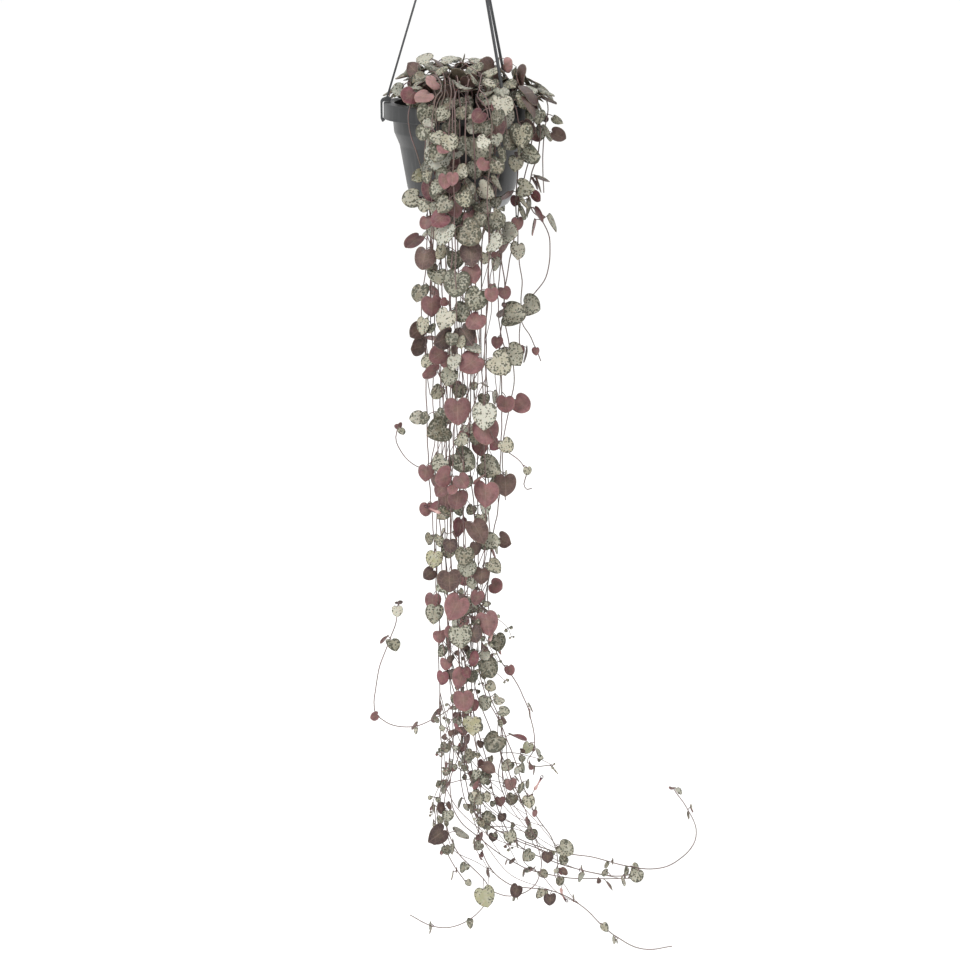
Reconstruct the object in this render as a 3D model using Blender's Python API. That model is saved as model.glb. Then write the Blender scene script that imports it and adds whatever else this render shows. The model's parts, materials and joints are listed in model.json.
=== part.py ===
# String of hearts in a hanging pot: a trailing plant with heart-shaped leaves, modelled for Blender 4.5.
# The code works in millimetres measured from the centre of the pot's rim: x to the right, y to the back, z up.
# At the end every mesh is scaled to metres and moved so that the hook's bearing point is the origin.

import math
import random

import bmesh
import bpy
from mathutils import Matrix, Vector
from mathutils.bvhtree import BVHTree
from mathutils.kdtree import KDTree

MM = 0.001
COLLECTION_NAME = "string_of_hearts"

# Hanger: heights above the rim
HOOK_BEARING_Z = 237.0
HOOK_BEND_RADIUS = 9.6
HOOK_ROD_RADIUS = 1.6
YOKE_TOP_Z = 213.0
YOKE_BOTTOM_Z = 203.0
YOKE_RADIUS = 6.0
STRAP_WIDTH = 2.6
STRAP_DEPTH = 1.8
STRAP_TOP_RADIUS = 3.4
STRAP_TOP_Z = 208.0
STRAP_FOOT_RADIUS = 66.5
STRAP_FOOT_Z = 4.6
CLIP_WIDTH = 5.0
STRAP_ANGLES = {"left": 180.0, "front": -55.0, "back": 51.0}

# Pot: outer and inner outlines as (radius, height)
POT_STEPS = 26
POT_OUTER = [(60.8, 0.0), (69.2, 0.0), (70.0, -0.9), (70.0, -12.2), (70.5, -14.2), (68.6, -14.2)]
POT_OUTER += [(68.2, -2.2), (62.1, -2.2), (61.9, -14.0), (60.8, -26.5), (55.9, -38.0), (49.1, -77.0)]
POT_OUTER += [(47.6, -80.4), (44.6, -82.0)]
POT_FLOOR = [(5.4, -82.0), (5.4, -79.8)]
POT_INNER = [(45.9, -79.8), (47.2, -76.6), (53.9, -38.6), (58.8, -27.2), (60.0, -14.0)]
DRAIN_RADIUS = 3.5
DRAIN_RING = 26.0

# Drip tray: outline as (radius, height), with the central post that snaps into the pot's floor
TRAY_STEPS = 26
TRAY_OUTLINE = [(44.0, -83.4), (46.4, -83.4), (46.4, -85.0), (42.6, -91.2), (40.0, -92.4)]
TRAY_INSIDE = [(4.6, -90.6), (4.6, -79.4), (6.6, -79.1), (4.0, -76.6)]

# Soil: the top is lumpy, the sides follow the inside of the pot
SOIL_SEGMENTS = 26
SOIL_TOP_RINGS = [16.0, 32.0, 47.0]
SOIL_SIDES = [(59.3, -13.0), (58.3, -27.5), (53.4, -38.8), (46.7, -76.4), (45.4, -79.3)]
SOIL_LEVEL = -12.0
HOLE_RADIUS = 2.4
HOLE_BOTTOM = -23.0
STEM_FOOT = -21.0
MOST_FOOT_RADIUS = 49.0

# Plant
STEM_RADIUS = 0.95
STALK_RADIUS = 0.40
STEM_GAP = 3.7
RIM_CLEAR = 73.0
MOST_LEAVES = 322
CROWN_FILL = 84
BIG_LEAF = 15.5
HEART = ((-0.13, 0.42), (0.12, 0.98), (0.48, 0.90), (0.80, 0.40))
SMALL_HEART = ((-0.12, 0.45), (0.26, 1.0), (0.68, 0.58))
UPPER_TONES = "gmcoy"

# Long strands: soil x, soil y, height over the rim, distance out from the pot's axis at the rim,
# depth lower down, then the course as (x, z) read off the photograph
LONG_STRANDS = [
    (-22, -42, 16, 75, -70, [(-26, -18), (-27, -79), (-30, -168), (-31, -259), (-26, -354), (-22, -450),
        (-20, -550), (-21, -642), (-23, -689), (-12, -717), (4, -741)]),
    (-21, -34, 19, 84, -84, [(-20, -16), (-20, -77), (-24, -165), (-18, -284), (-22, -388), (-17, -495),
        (-9, -564), (-13, -625), (-25, -661), (-27, -685)]),
    (-13, -44, 15, 76, -76, [(-14, -13), (-13, -78), (-15, -167), (-13, -295), (-14, -448), (-4, -548),
        (1, -593), (-1, -629), (7, -658), (26, -677), (55, -693), (84, -705)]),
    (-7, -30, 22, 92, -92, [(-7, -11), (-8, -93), (-10, -190), (-8, -328), (-6, -443), (4, -561), (4, -632),
        (17, -661), (42, -677), (79, -692), (131, -703), (162, -712), (190, -712), (208, -701), (219, -687),
        (221, -671), (215, -655), (200, -631)]),
    (-1, -46, 14, 79, -80, [(-1, -8), (-2, -95), (-5, -211), (-1, -351), (-3, -466), (7, -586), (13, -648),
        (20, -695), (26, -717), (41, -733), (70, -739), (96, -746), (115, -762), (136, -781), (154, -796),
        (172, -805), (203, -802)]),
    (5, -26, 24, 96, -96, [(5, -6), (4, -92), (1, -208), (2, -346), (6, -480), (9, -559), (17, -620),
        (18, -661)]),
    (10, -40, 18, 84, -84, [(10, -7), (10, -112), (8, -256), (11, -407), (11, -544), (23, -615), (36, -661),
        (47, -685), (74, -704), (108, -716), (137, -724), (164, -723)]),
    (15, -48, 13, 75, -74, [(16, -8), (15, -113), (12, -258), (15, -410), (17, -548), (33, -599), (50, -640),
        (62, -666), (70, -703), (73, -727), (65, -744), (51, -751), (26, -745)]),
    (20, -34, 20, 90, -90, [(22, -7), (20, -111), (18, -255), (21, -405), (21, -532), (34, -560), (45, -594),
        (57, -625), (67, -651), (81, -682), (93, -703), (93, -728)]),
    (26, -44, 15, 75, -66, [(27, -5), (25, -115), (23, -260), (26, -413), (24, -541), (36, -574), (39, -597),
        (34, -628), (44, -657)]),
    (-15, -31, 24, 80, -62, [(-18, -18), (-18, -89), (-19, -188), (-21, -299), (-15, -414), (-12, -513),
        (-2, -594), (-12, -651), (-6, -672), (11, -692), (33, -710), (57, -726), (94, -737), (133, -738),
        (164, -739)]),
    (-4, -18, 26, 101, -100, [(-5, -14), (-6, -127), (-5, -252), (-9, -402), (-2, -538), (-13, -618),
        (-15, -669), (0, -702), (15, -726), (23, -741), (15, -754), (2, -764), (-14, -772), (-25, -771),
        (-50, -758)]),
    (31, -36, 17, 79, -64, [(32, -5), (32, -88), (35, -124), (36, -205), (38, -289), (35, -355), (30, -433),
        (29, -492), (36, -512), (49, -530), (58, -560), (67, -588), (68, -603), (63, -616), (89, -619)]),
    (-11, -23, 25, 88, -86, [(-9, -24), (-11, -165), (-10, -302), (-13, -406), (-9, -504), (-3, -543),
        (-15, -551), (-35, -566), (-53, -571), (-71, -566), (-82, -557), (-81, -538), (-77, -509),
        (-69, -486), (-61, -462), (-59, -448)]),
    (45, -18, 16, 75, -30, [(67, -18), (69, -40), (59, -75), (63, -92), (72, -103), (78, -119), (78, -135),
        (76, -155), (65, -172), (56, -188), (65, -211), (73, -232)]),
    (42, -27, 18, 75, -40, [(62, -17), (59, -47), (51, -83), (51, -119), (54, -151), (53, -185), (51, -220)]),
    (36, -26, 20, 82, -62, [(37, -18), (34, -53), (29, -84), (34, -105), (35, -135), (35, -169), (37, -206),
        (42, -226)]),
    (40, -37, 12, 80, -56, [(48, -2), (50, -45), (48, -81), (46, -116), (42, -148), (39, -171), (42, -212),
        (46, -237), (44, -265), (39, -286), (37, -329), (41, -358)]),
    (14, -14, 27, 105, -104, [(25, -14), (23, -161), (22, -251), (25, -280), (36, -294), (53, -308),
        (58, -317), (59, -334), (63, -333)]),
    (-31, -40, 13, 76, -66, [(-29, -14), (-29, -106), (-33, -169), (-34, -205), (-30, -233), (-27, -256)]),
    (-26, -21, 27, 92, -78, [(-23, -17), (-25, -166), (-27, -276), (-34, -321), (-47, -312), (-56, -303),
        (-58, -293), (-56, -283)]),
    (-36, -31, 14, 75, -66, [(-44, -6), (-42, -12), (-40, -27), (-37, -48), (-34, -62), (-27, -97),
        (-25, -133)]),
]

# Strands that hang behind the pot: soil x, soil y, height over the rim, direction in degrees, length
BACK_STRANDS = [
    (-14, 40, 14, 101, 430), (2, 44, 16, 88, 560), (16, 38, 18, 79, 350), (-26, 30, 15, 112, 250),
    (-40, 8, 15, 152, 70), (46, 6, 14, 12, 90), (30, 28, 14, 68, 190),
]

# Short shoots over the soil: soil x, soil y, then the tip as x, y, z
CROWN_SHOOTS = [
    (-30, 2, -40, 4, 24), (-20, 8, -22, 12, 34), (-12, -4, -16, -2, 26), (-2, 12, 2, 12, 32),
    (8, 2, 20, 2, 22), (22, 8, 36, 8, 27), (34, 4, 48, -4, 18), (38, -10, 56, -24, 11),
    (-36, -14, -52, -28, 10), (4, -12, 2, -34, 12), (-8, 26, -10, 34, 26),
    (-28, 20, -40, 30, 18),
]

# Leaves of the crown: x, y, z, width and tone
CROWN_LEAVES = [
    (-43, 5, 33, 14, "c"), (-25, 10, 41, 9, "k"), (-18, 0, 33, 24, "o"), (2, 10, 36, 12, "g"),
    (23, 0, 27, 23, "b"), (42, 5, 32, 14, "k"), (53, -5, 22, 24, "b"), (59, -25, 11, 23, "d"),
    (60, -40, 0, 22, "b"), (-56, -30, 13, 13, "c"), (-45, -45, 10, 18, "r"), (-25, -30, 22, 15, "k"),
    (-33, -50, 10, 17, "k"), (-29, -70, -4, 19, "m"), (-15, -35, 14, 18, "m"), (-1, -72, -2, 24, "m"),
    (6, -35, 14, 22, "g"), (29, -30, 14, 18, "g"), (11, -80, -13, 14, "c"), (37, -62, 4, 20, "c"),
    (37, -72, -8, 20, "c"), (22, -82, -19, 21, "p"), (-15, -80, -22, 10, "k"), (-19, -84, -39, 24, "c"),
    (-5, -84, -31, 20, "c"), (15, -84, -32, 22, "g"), (-6, -82, -46, 14, "p"), (19, -84, -47, 22, "g"),
    (-38, -78, -57, 12, "y"), (-44, -78, -77, 17, "g"), (-25, -82, -69, 19, "r"), (-11, -84, -73, 18, "r"),
    (-12, -84, -59, 18, "g"), (22, -84, -67, 18, "c"), (8, -86, -78, 18, "c"), (53, -60, -22, 21, "m"),
    (61, -58, -39, 21, "m"), (48, -62, -47, 14, "g"), (62, -55, -45, 10, "d"), (57, -58, -68, 17, "g"),
    (67, -50, -79, 11, "r"), (48, -55, -82, 10, "r"), (5, -60, 3, 14, "g"), (-22, -72, -10, 18, "g"),
    (43, -62, -27, 18, "o"),
]

# Leaves of the hanging strands: x, z, width and tone
HANGING_LEAVES = [
    (-14, -103, 22, "c"), (8, -102, 24, "o"), (30, -109, 19, "c"), (42, -106, 22, "c"), (50, -100, 12, "p"),
    (-32, -127, 20, "b"), (-17, -120, 15, "g"), (-5, -128, 18, "m"), (9, -122, 20, "d"), (10, -139, 17, "p"),
    (-26, -143, 18, "o"), (-4, -147, 24, "m"), (-26, -170, 19, "p"), (-15, -166, 8, "p"),
    (-14, -179, 19, "c"), (1, -174, 18, "m"), (13, -160, 21, "m"), (12, -179, 18, "p"), (-40, -195, 16, "b"),
    (-39, -209, 18, "b"), (-16, -195, 21, "d"), (5, -193, 20, "d"), (-21, -212, 18, "p"), (-6, -216, 15, "c"),
    (8, -217, 22, "p"), (-28, -229, 18, "p"), (-11, -230, 16, "g"), (27, -156, 13, "p"), (39, -161, 12, "p"),
    (48, -181, 24, "g"), (63, -177, 22, "g"), (32, -207, 11, "p"), (35, -218, 22, "g"), (47, -218, 21, "g"),
    (51, -224, 12, "p"), (68, -225, 13, "p"), (76, -224, 13, "p"), (-22, -250, 14, "g"), (-3, -261, 24, "p"),
    (20, -264, 24, "c"), (40, -264, 17, "p"), (55, -266, 18, "p"), (-21, -280, 24, "o"), (-41, -276, 13, "c"),
    (22, -282, 24, "p"), (30, -302, 12, "r"), (3, -310, 24, "m"), (17, -302, 15, "p"), (26, -320, 22, "g"),
    (-32, -324, 15, "p"), (-17, -321, 20, "p"), (1, -326, 15, "p"), (15, -326, 14, "p"), (-4, -344, 19, "p"),
    (22, -341, 24, "p"), (40, -340, 21, "b"), (-14, -351, 19, "p"), (15, -373, 24, "b"), (29, -385, 16, "g"),
    (40, -392, 16, "b"), (53, -392, 16, "p"), (61, -319, 14, "g"), (-10, -387, 14, "d"), (-25, -404, 16, "y"),
    (-12, -399, 14, "g"), (3, -397, 18, "o"), (5, -410, 18, "g"), (-30, -419, 13, "d"), (-11, -420, 22, "b"),
    (4, -425, 13, "p"), (18, -418, 16, "b"), (30, -410, 15, "g"), (-6, -446, 24, "p"), (-27, -450, 16, "p"),
    (24, -463, 22, "p"), (45, -456, 11, "p"), (-1, -474, 22, "g"), (12, -472, 16, "d"), (-20, -480, 13, "p"),
    (-11, -470, 11, "p"), (33, -492, 17, "o"), (12, -496, 15, "r"), (25, -507, 20, "o"), (-2, -515, 20, "p"),
    (2, -536, 20, "p"), (27, -527, 11, "g"), (45, -521, 10, "p"), (36, -540, 14, "c"), (-2, -564, 14, "r"),
    (10, -564, 22, "y"), (6, -593, 13, "o"), (28, -583, 24, "o"), (13, -613, 11, "g"), (27, -608, 16, "b"),
    (41, -608, 15, "g"), (61, -600, 14, "y"), (12, -623, 11, "p"), (46, -634, 15, "k"), (15, -637, 18, "g"),
    (28, -654, 21, "o"), (46, -649, 14, "o"), (63, -644, 15, "g"), (-21, -644, 14, "d"), (-11, -642, 10, "d"),
    (-13, -654, 14, "g"), (-26, -672, 24, "d"), (38, -664, 11, "d"), (23, -661, 13, "g"), (47, -679, 15, "g"),
    (14, -693, 12, "g"), (29, -688, 11, "d"), (66, -686, 15, "o"), (61, -702, 15, "g"), (81, -700, 14, "d"),
    (100, -692, 20, "g"), (100, -714, 15, "b"), (93, -728, 16, "o"), (8, -738, 12, "g"), (23, -737, 24, "y"),
    (50, -740, 16, "d"), (133, -719, 14, "g"), (165, -720, 16, "g"), (165, -734, 10, "g"),
    (138, -780, 11, "g"), (126, -790, 11, "g"), (84, -751, 15, "d"), (-59, -457, 18, "c"),
    (-83, -558, 11, "p"), (-25, -457, 18, "g"), (7, -450, 15, "g"), (21, -543, 14, "g"), (-15, -507, 12, "p"),
    (41, -553, 13, "g"), (32, -436, 15, "p"), (-32, -363, 14, "p"), (1, -287, 14, "g"), (41, -292, 14, "g"),
    (-17, -425, 14, "g"), (14, -440, 14, "p"),
]


# Mesh helpers

def new_material(name, colour, roughness):
    mat = bpy.data.materials.new(name)
    mat.use_nodes = True
    shader = mat.node_tree.nodes["Principled BSDF"]
    shader.inputs["Base Color"].default_value = (*colour, 1.0)
    shader.inputs["Roughness"].default_value = roughness
    return mat


def new_object(name, points, faces, collection, mat, smooth=False):
    mesh = bpy.data.meshes.new(name)
    mesh.from_pydata([tuple(p) for p in points], [], faces)
    bm = bmesh.new()
    bm.from_mesh(mesh)
    bmesh.ops.recalc_face_normals(bm, faces=bm.faces)
    bm.to_mesh(mesh)
    bm.free()
    for face in mesh.polygons:
        face.use_smooth = smooth
    if mat:
        mesh.materials.append(mat)
    obj = bpy.data.objects.new(name, mesh)
    collection.objects.link(obj)
    return obj


def lathe(outline, steps):
    """Points and faces of a closed (radius, height) outline turned about the z axis."""
    points = []
    for k in range(steps):
        angle = 2 * math.pi * k / steps
        points += [(r * math.cos(angle), r * math.sin(angle), z) for r, z in outline]
    n = len(outline)
    faces = []
    for k in range(steps):
        near, far = k * n, (k + 1) % steps * n
        faces += [(near + i, near + (i + 1) % n, far + (i + 1) % n, far + i) for i in range(n)]
    return points, faces


def prism(outline, angle, width):
    """A (radius, height) outline in the plane through the axis at an angle, extruded across that plane."""
    out = Vector((math.cos(math.radians(angle)), math.sin(math.radians(angle)), 0))
    side = Vector((-out.y, out.x, 0)) * (width / 2)
    up = Vector((0, 0, 1))
    points = [out * r + up * z + side for r, z in outline] + [out * r + up * z - side for r, z in outline]
    n = len(outline)
    faces = [tuple(range(n)), tuple(range(2 * n - 1, n - 1, -1))]
    faces += [(i, n + i, n + (i + 1) % n, (i + 1) % n) for i in range(n)]
    return points, faces


def tube(path, radius, sides, end_radius=None):
    """A closed tube along a path, its section carried without twist, narrowing to the end radius."""
    end_radius = radius if end_radius is None else end_radius
    across = (path[1] - path[0]).orthogonal().normalized()
    points = []
    for i, p in enumerate(path):
        ahead = path[min(i + 1, len(path) - 1)] - path[max(i - 1, 0)]
        ahead.normalize()
        across = (across - ahead * across.dot(ahead)).normalized()
        other = ahead.cross(across)
        r = radius + (end_radius - radius) * i / (len(path) - 1)
        for k in range(sides):
            a = 2 * math.pi * k / sides
            points.append(p + across * (r * math.cos(a)) + other * (r * math.sin(a)))
    faces = [tuple(range(sides))[::-1], tuple(range((len(path) - 1) * sides, len(path) * sides))]
    for i in range(len(path) - 1):
        for k in range(sides):
            j = (k + 1) % sides
            faces.append((i * sides + k, i * sides + j, (i + 1) * sides + j, (i + 1) * sides + k))
    return points, faces


def apply_boolean(obj, operation, helpers, solver="MANIFOLD"):
    """Applies one Boolean of the object with a collection of helpers, then removes the helpers."""
    group = bpy.data.collections.new("helpers")
    bpy.context.scene.collection.children.link(group)
    for helper in helpers:
        for owner in list(helper.users_collection):
            owner.objects.unlink(helper)
        group.objects.link(helper)
    modifier = obj.modifiers.new("join", "BOOLEAN")
    modifier.operation = operation
    modifier.operand_type = "COLLECTION"
    modifier.collection = group
    modifier.solver = solver
    bpy.context.view_layer.update()
    graph = bpy.context.evaluated_depsgraph_get()
    made = bpy.data.meshes.new_from_object(obj.evaluated_get(graph))
    obj.modifiers.clear()
    obj.data = made
    for helper in helpers:
        bpy.data.objects.remove(helper)
    bpy.data.collections.remove(group)


# Plant geometry: stems

def smooth_course(points, step=4.0):
    """A smooth curve through the points, sampled about every step."""
    gaps = [(b - a).length for a, b in zip(points, points[1:])]
    slopes = []
    for i in range(len(points)):
        if i == 0:
            slopes.append((points[1] - points[0]) / gaps[0])
        elif i == len(points) - 1:
            slopes.append((points[-1] - points[-2]) / gaps[-1])
        else:
            before, after = gaps[i - 1], gaps[i]
            back = (points[i] - points[i - 1]) / before
            ahead = (points[i + 1] - points[i]) / after
            slopes.append((back * after + ahead * before) / (before + after))
    course = [points[0].copy()]
    for i, gap in enumerate(gaps):
        count = max(1, round(gap / step))
        for k in range(1, count + 1):
            t = k / count
            a = 2 * t**3 - 3 * t**2 + 1
            b = t**3 - 2 * t**2 + t
            c = 3 * t**2 - 2 * t**3
            d = t**3 - t**2
            course.append(points[i] * a + slopes[i] * (b * gap) + points[i + 1] * c + slopes[i + 1] * (d * gap))
    return course


def simplified(course, tolerance):
    """The course with the points left out that lie within the tolerance of a straight line."""
    keep = {0, len(course) - 1}
    spans = [(0, len(course) - 1)]
    while spans:
        a, b = spans.pop()
        along = course[b] - course[a]
        length = max(along.length, 1e-6)
        worst, at = 0.0, None
        for i in range(a + 1, b):
            off = (course[i] - course[a]).cross(along).length / length
            if off > worst:
                worst, at = off, i
        if worst > tolerance:
            keep.add(at)
            spans += [(a, at), (at, b)]
    return [course[i] for i in sorted(keep)]


def straight_foot(course, tolerance):
    """The simplified course, with the length that stands in the soil kept upright."""
    out = next(i for i, p in enumerate(course) if p.z > -8.5)
    return [course[0]] + simplified(course[out:], tolerance)


def clear_courses(courses):
    """All the courses simplified, more finely for stems that would otherwise touch."""
    tolerances = [1.5] * len(courses)
    for _ in range(7):
        strands = [straight_foot(course, tolerance) for course, tolerance in zip(courses, tolerances)]
        trees = [tree_of(*tube(course, STEM_RADIUS + 0.2, 3)) for course in strands]
        close = set()
        for a in range(len(trees)):
            for b in range(a + 1, len(trees)):
                if trees[a].overlap(trees[b]):
                    close |= {a, b}
        if not close:
            break
        for a in close:
            tolerances[a] *= 0.6
    print("stems still close", len(close))
    return strands


def arch_over_rim(foot, height, reach, target):
    """The first points of a stem: out of the soil, up, and over the rim towards the target."""
    out = Vector((target.x, target.y, 0)).normalized()
    rise = foot.lerp(Vector((target.x, target.y, foot.z)), 0.25)
    points = [Vector((foot.x, foot.y, STEM_FOOT)), Vector((foot.x, foot.y, -8.0))]
    points.append(Vector((rise.x, rise.y, height)))
    points.append(out * 62.0 + Vector((0, 0, max(9.0, height * 0.7))))
    points.append(out * (reach - 1.5) + Vector((0, 0, 4.5)))
    return points


def long_course(entry):
    sx, sy, height, reach, depth, route = entry
    points = []
    for x, z in route:
        limit = min(abs(x), reach * 0.93)
        at_rim = -math.sqrt(reach**2 - limit**2)
        t = min(1.0, max(0.0, (-z - 95.0) / 140.0))
        t = t * t * (3 - 2 * t)
        points.append(Vector((x, at_rim * (1 - t) + depth * t, z)))
    first = Vector((points[0].x, points[0].y, 0))
    points = [p for p in points if p.z < -11.0]
    foot = Vector((sx, sy, 0)) * min(1.0, MOST_FOOT_RADIUS / math.hypot(sx, sy))
    return smooth_course(arch_over_rim(foot, height, first.length, first) + points)


def back_course(entry, rng):
    sx, sy, height, angle, length = entry
    out = Vector((math.cos(math.radians(angle)), math.sin(math.radians(angle)), 0))
    reach = 76.0
    points = arch_over_rim(Vector((sx, sy, STEM_FOOT)), height, reach, out * reach)
    z = -14.0
    while z > -length:
        sway = Vector((rng.uniform(-3, 3), rng.uniform(0, 3), 0))
        points.append(out * (reach + 1) + sway + Vector((0, 0, z)))
        z -= rng.uniform(45, 75)
    return smooth_course(points)


def shoot_course(entry):
    sx, sy, tx, ty, tz = entry
    middle = Vector((sx * 0.75 + tx * 0.25, sy * 0.75 + ty * 0.25, tz * 0.62))
    foot = Vector((sx, sy, STEM_FOOT))
    return smooth_course([foot, Vector((sx, sy, -8.0)), middle, Vector((tx, ty, tz))], 3.0)


def strap_line(angle):
    out = Vector((math.cos(math.radians(angle)), math.sin(math.radians(angle)), 0))
    top = out * STRAP_TOP_RADIUS + Vector((0, 0, STRAP_TOP_Z))
    foot = out * STRAP_FOOT_RADIUS + Vector((0, 0, STRAP_FOOT_Z))
    clip = out * 72.0 + Vector((0, 0, -16.0))
    return [top.lerp(foot, k / 60) for k in range(61)] + [foot.lerp(clip, k / 8) for k in range(9)]


def keep_out_of_pot(p):
    """Moves a stem point off the pot: outside it below the rim, inside its wall over the soil."""
    r = math.hypot(p.x, p.y)
    if p.z < 2.8 and p.z > -100.0 and r > 57.0 and r < RIM_CLEAR:
        wanted = 57.0 if r < 63.0 else RIM_CLEAR
        p.x *= wanted / r
        p.y *= wanted / r
    if r > 58.0 and r < RIM_CLEAR and p.z < 4.5 and p.z > 2.0:
        p.z = 4.5


def spread(courses, rounds=26):
    """Moves stems apart wherever they come closer than the gap, and off the straps and the pot."""
    fixed = [p for angle in STRAP_ANGLES.values() for p in strap_line(angle)]
    for _ in range(rounds):
        every = [(p, s, i) for s, course in enumerate(courses) for i, p in enumerate(course)]
        tree = KDTree(len(every) + len(fixed))
        for n, (p, _, _) in enumerate(every):
            tree.insert(p, n)
        for n, p in enumerate(fixed):
            tree.insert(p, len(every) + n)
        tree.balance()
        pushes = [[Vector() for _ in course] for course in courses]
        for p, s, i in every:
            for q, n, distance in tree.find_range(p, STEM_GAP + 1.6):
                rigid = n >= len(every)
                if not rigid and every[n][1] == s:
                    continue
                wanted = STEM_GAP + 1.5 if rigid else STEM_GAP
                if distance >= wanted:
                    continue
                apart = p - q
                apart.z = 0.0
                if apart.length < 0.05:
                    apart = Vector((math.cos(s * 2.4), math.sin(s * 2.4), 0))
                push = apart.normalized() * ((wanted - distance) * (0.5 if rigid else 0.3))
                if push.length > pushes[s][i].length:
                    pushes[s][i] = push
        for s, course in enumerate(courses):
            for i, p in enumerate(course):
                near = [pushes[s][min(max(i + k, 0), len(course) - 1)] for k in (-3, -2, -1, 0, 1, 2, 3)]
                weights = (0.15, 0.4, 0.8, 1.0, 0.8, 0.4, 0.15)
                move = Vector()
                for w, v in zip(weights, near):
                    move += v * (w / 2.0)
                if p.z > -7.0 or math.hypot(p.x, p.y) > 62:
                    p += move
                keep_out_of_pot(p)
    return courses


# Plant geometry: leaves

def unit(v):
    return v.normalized() if v.length > 1e-9 else Vector((0, 0, 1))


def leaf_frame(leaf):
    axis = unit(leaf["axis"])
    normal = unit(leaf["normal"] - axis * leaf["normal"].dot(axis))
    return axis, normal, normal.cross(axis)


def blade_point(leaf, frame, u, v):
    """A point of the blade's middle surface: u from the notch to the tip, v from side to side."""
    axis, normal, side = frame
    width, length = leaf["width"], leaf["width"] * 0.98
    lift = width * (leaf["fold"] * 0.16 * v * v - leaf["curl"] * 0.12 * u * u)
    return leaf["notch"] + axis * (u * length) + side * (v * width / 2) + normal * lift


def coarse_leaf(leaf, grow=0.0):
    """Points and faces of the stalk and blade as one closed mesh of few triangles."""
    leaf = dict(leaf)
    leaf["width"] += grow * 2
    frame = leaf_frame(leaf)
    axis, normal, side = frame
    stalk = unit(leaf["notch"] - leaf["root"])
    bisector = unit(stalk + axis)
    over = unit(normal - bisector * normal.dot(bisector))
    across = over.cross(bisector)
    root, notch = leaf["root"], leaf["notch"]
    r = STALK_RADIUS + grow
    ring = [notch + over * r, notch + across * r - over * (r * 0.6), notch - across * r - over * (r * 0.6)]
    points = [p - stalk * (p - root).dot(stalk) for p in ring] + ring
    half = HEART if leaf["width"] >= BIG_LEAF else SMALL_HEART
    left = [blade_point(leaf, frame, u, v) for u, v in half]
    right = [blade_point(leaf, frame, u, -v) for u, v in half]
    tip = blade_point(leaf, frame, 1.0, 0.0)
    points += left + [tip] + right[::-1]
    middle = blade_point(leaf, frame, 0.36, 0.0)
    thick = (0.7 + leaf["width"] * 0.03) + grow
    points += [middle + normal * thick, middle - normal * (thick * 0.8)]
    count = len(half) * 2 + 1
    loop = [4] + list(range(6, 6 + count)) + [5]
    top, bottom = 6 + count, 7 + count
    faces = [(0, 1, 4, 3), (1, 2, 5, 4), (2, 0, 3, 5), (0, 2, 1)]
    ring = [3] + loop
    faces += [(top, ring[k], ring[(k + 1) % len(ring)]) for k in range(len(ring))]
    faces += [(bottom, loop[k + 1], loop[k]) for k in range(len(loop) - 1)] + [(bottom, 4, 5)]
    return points, faces


def tree_of(points, faces):
    triangles = [(f[0], f[k], f[k + 1]) for f in faces for k in range(1, len(f) - 1)]
    return BVHTree.FromPolygons([tuple(p) for p in points], triangles)


class Taken:
    """The space already taken, kept as small search trees with their bounding balls."""

    def __init__(self):
        self.items = []

    def add(self, points, faces, owner, kind):
        middle = sum(points, Vector()) / len(points)
        reach = max((p - middle).length for p in points)
        self.items.append((middle, reach, tree_of(points, faces), owner, kind))

    def blocks(self, points, faces, owner, stalk_only):
        middle = sum(points, Vector()) / len(points)
        reach = max((p - middle).length for p in points)
        tree = None
        for other, size, taken, whose, kind in self.items:
            if (other - middle).length > reach + size:
                continue
            if stalk_only and whose == owner and kind == "stem":
                continue
            tree = tree or tree_of(points, faces)
            if tree.overlap(taken):
                return True
        return False


def blade_only(points, faces):
    """The faces of a coarse leaf without its stalk."""
    return points, faces[4:]


def stalk_only(leaf):
    root = leaf["root"].lerp(leaf["notch"], 0.12)
    return tube([root, leaf["notch"]], STALK_RADIUS + 0.35, 3)


def is_free(leaf, taken):
    points, faces = blade_only(*coarse_leaf(leaf, 0.45))
    if taken.blocks(points[3:], [tuple(i - 3 for i in f) for f in faces], leaf["owner"], False):
        return False
    return not taken.blocks(*stalk_only(leaf), leaf["owner"], True)


def two_links(vector, first, second):
    """Directions of two links that together span the vector, the first one bent upwards."""
    distance = vector.length
    ahead = unit(vector)
    up = unit(Vector((0, 0, 1)) - ahead * ahead.z)
    cosine = (first**2 + distance**2 - second**2) / (2 * first * distance)
    angle = math.acos(max(-1.0, min(1.0, cosine)))
    one = ahead * math.cos(angle) + up * math.sin(angle)
    return one, unit(vector - one * first)


def aimed_leaf(strand, root, centre_x, centre_z, width, tone, rng, turn):
    """A leaf rooted on a stem, whose blade shows at the given place as seen from the front."""
    stalk = 2.0 + width * rng.uniform(0.22, 0.34)
    reach = 0.42 * width
    flat = math.hypot(centre_x - root.x, centre_z - root.z)
    span = max(min(stalk + reach, max(flat, 0.86 * (stalk + reach))), abs(stalk - reach) + 0.3)
    depth = math.sqrt(max(0.0, span**2 - flat**2))
    shift = min(1.0, span / max(flat, 1e-6))
    vector = Vector(((centre_x - root.x) * shift, -depth, (centre_z - root.z) * shift))
    first, axis = two_links(vector, stalk, reach)
    seen = Vector((rng.gauss(0, 0.28) + turn * 0.35, -1.0, rng.gauss(0.05, 0.25)))
    normal = seen if tone in UPPER_TONES else -seen
    leaf = {"owner": strand, "root": root, "notch": root + first * stalk, "axis": axis}
    leaf.update(normal=normal, width=width, tone=tone, fold=rng.uniform(-0.5, 0.9))
    leaf["curl"] = rng.uniform(-0.3, 1.0)
    return leaf


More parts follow.
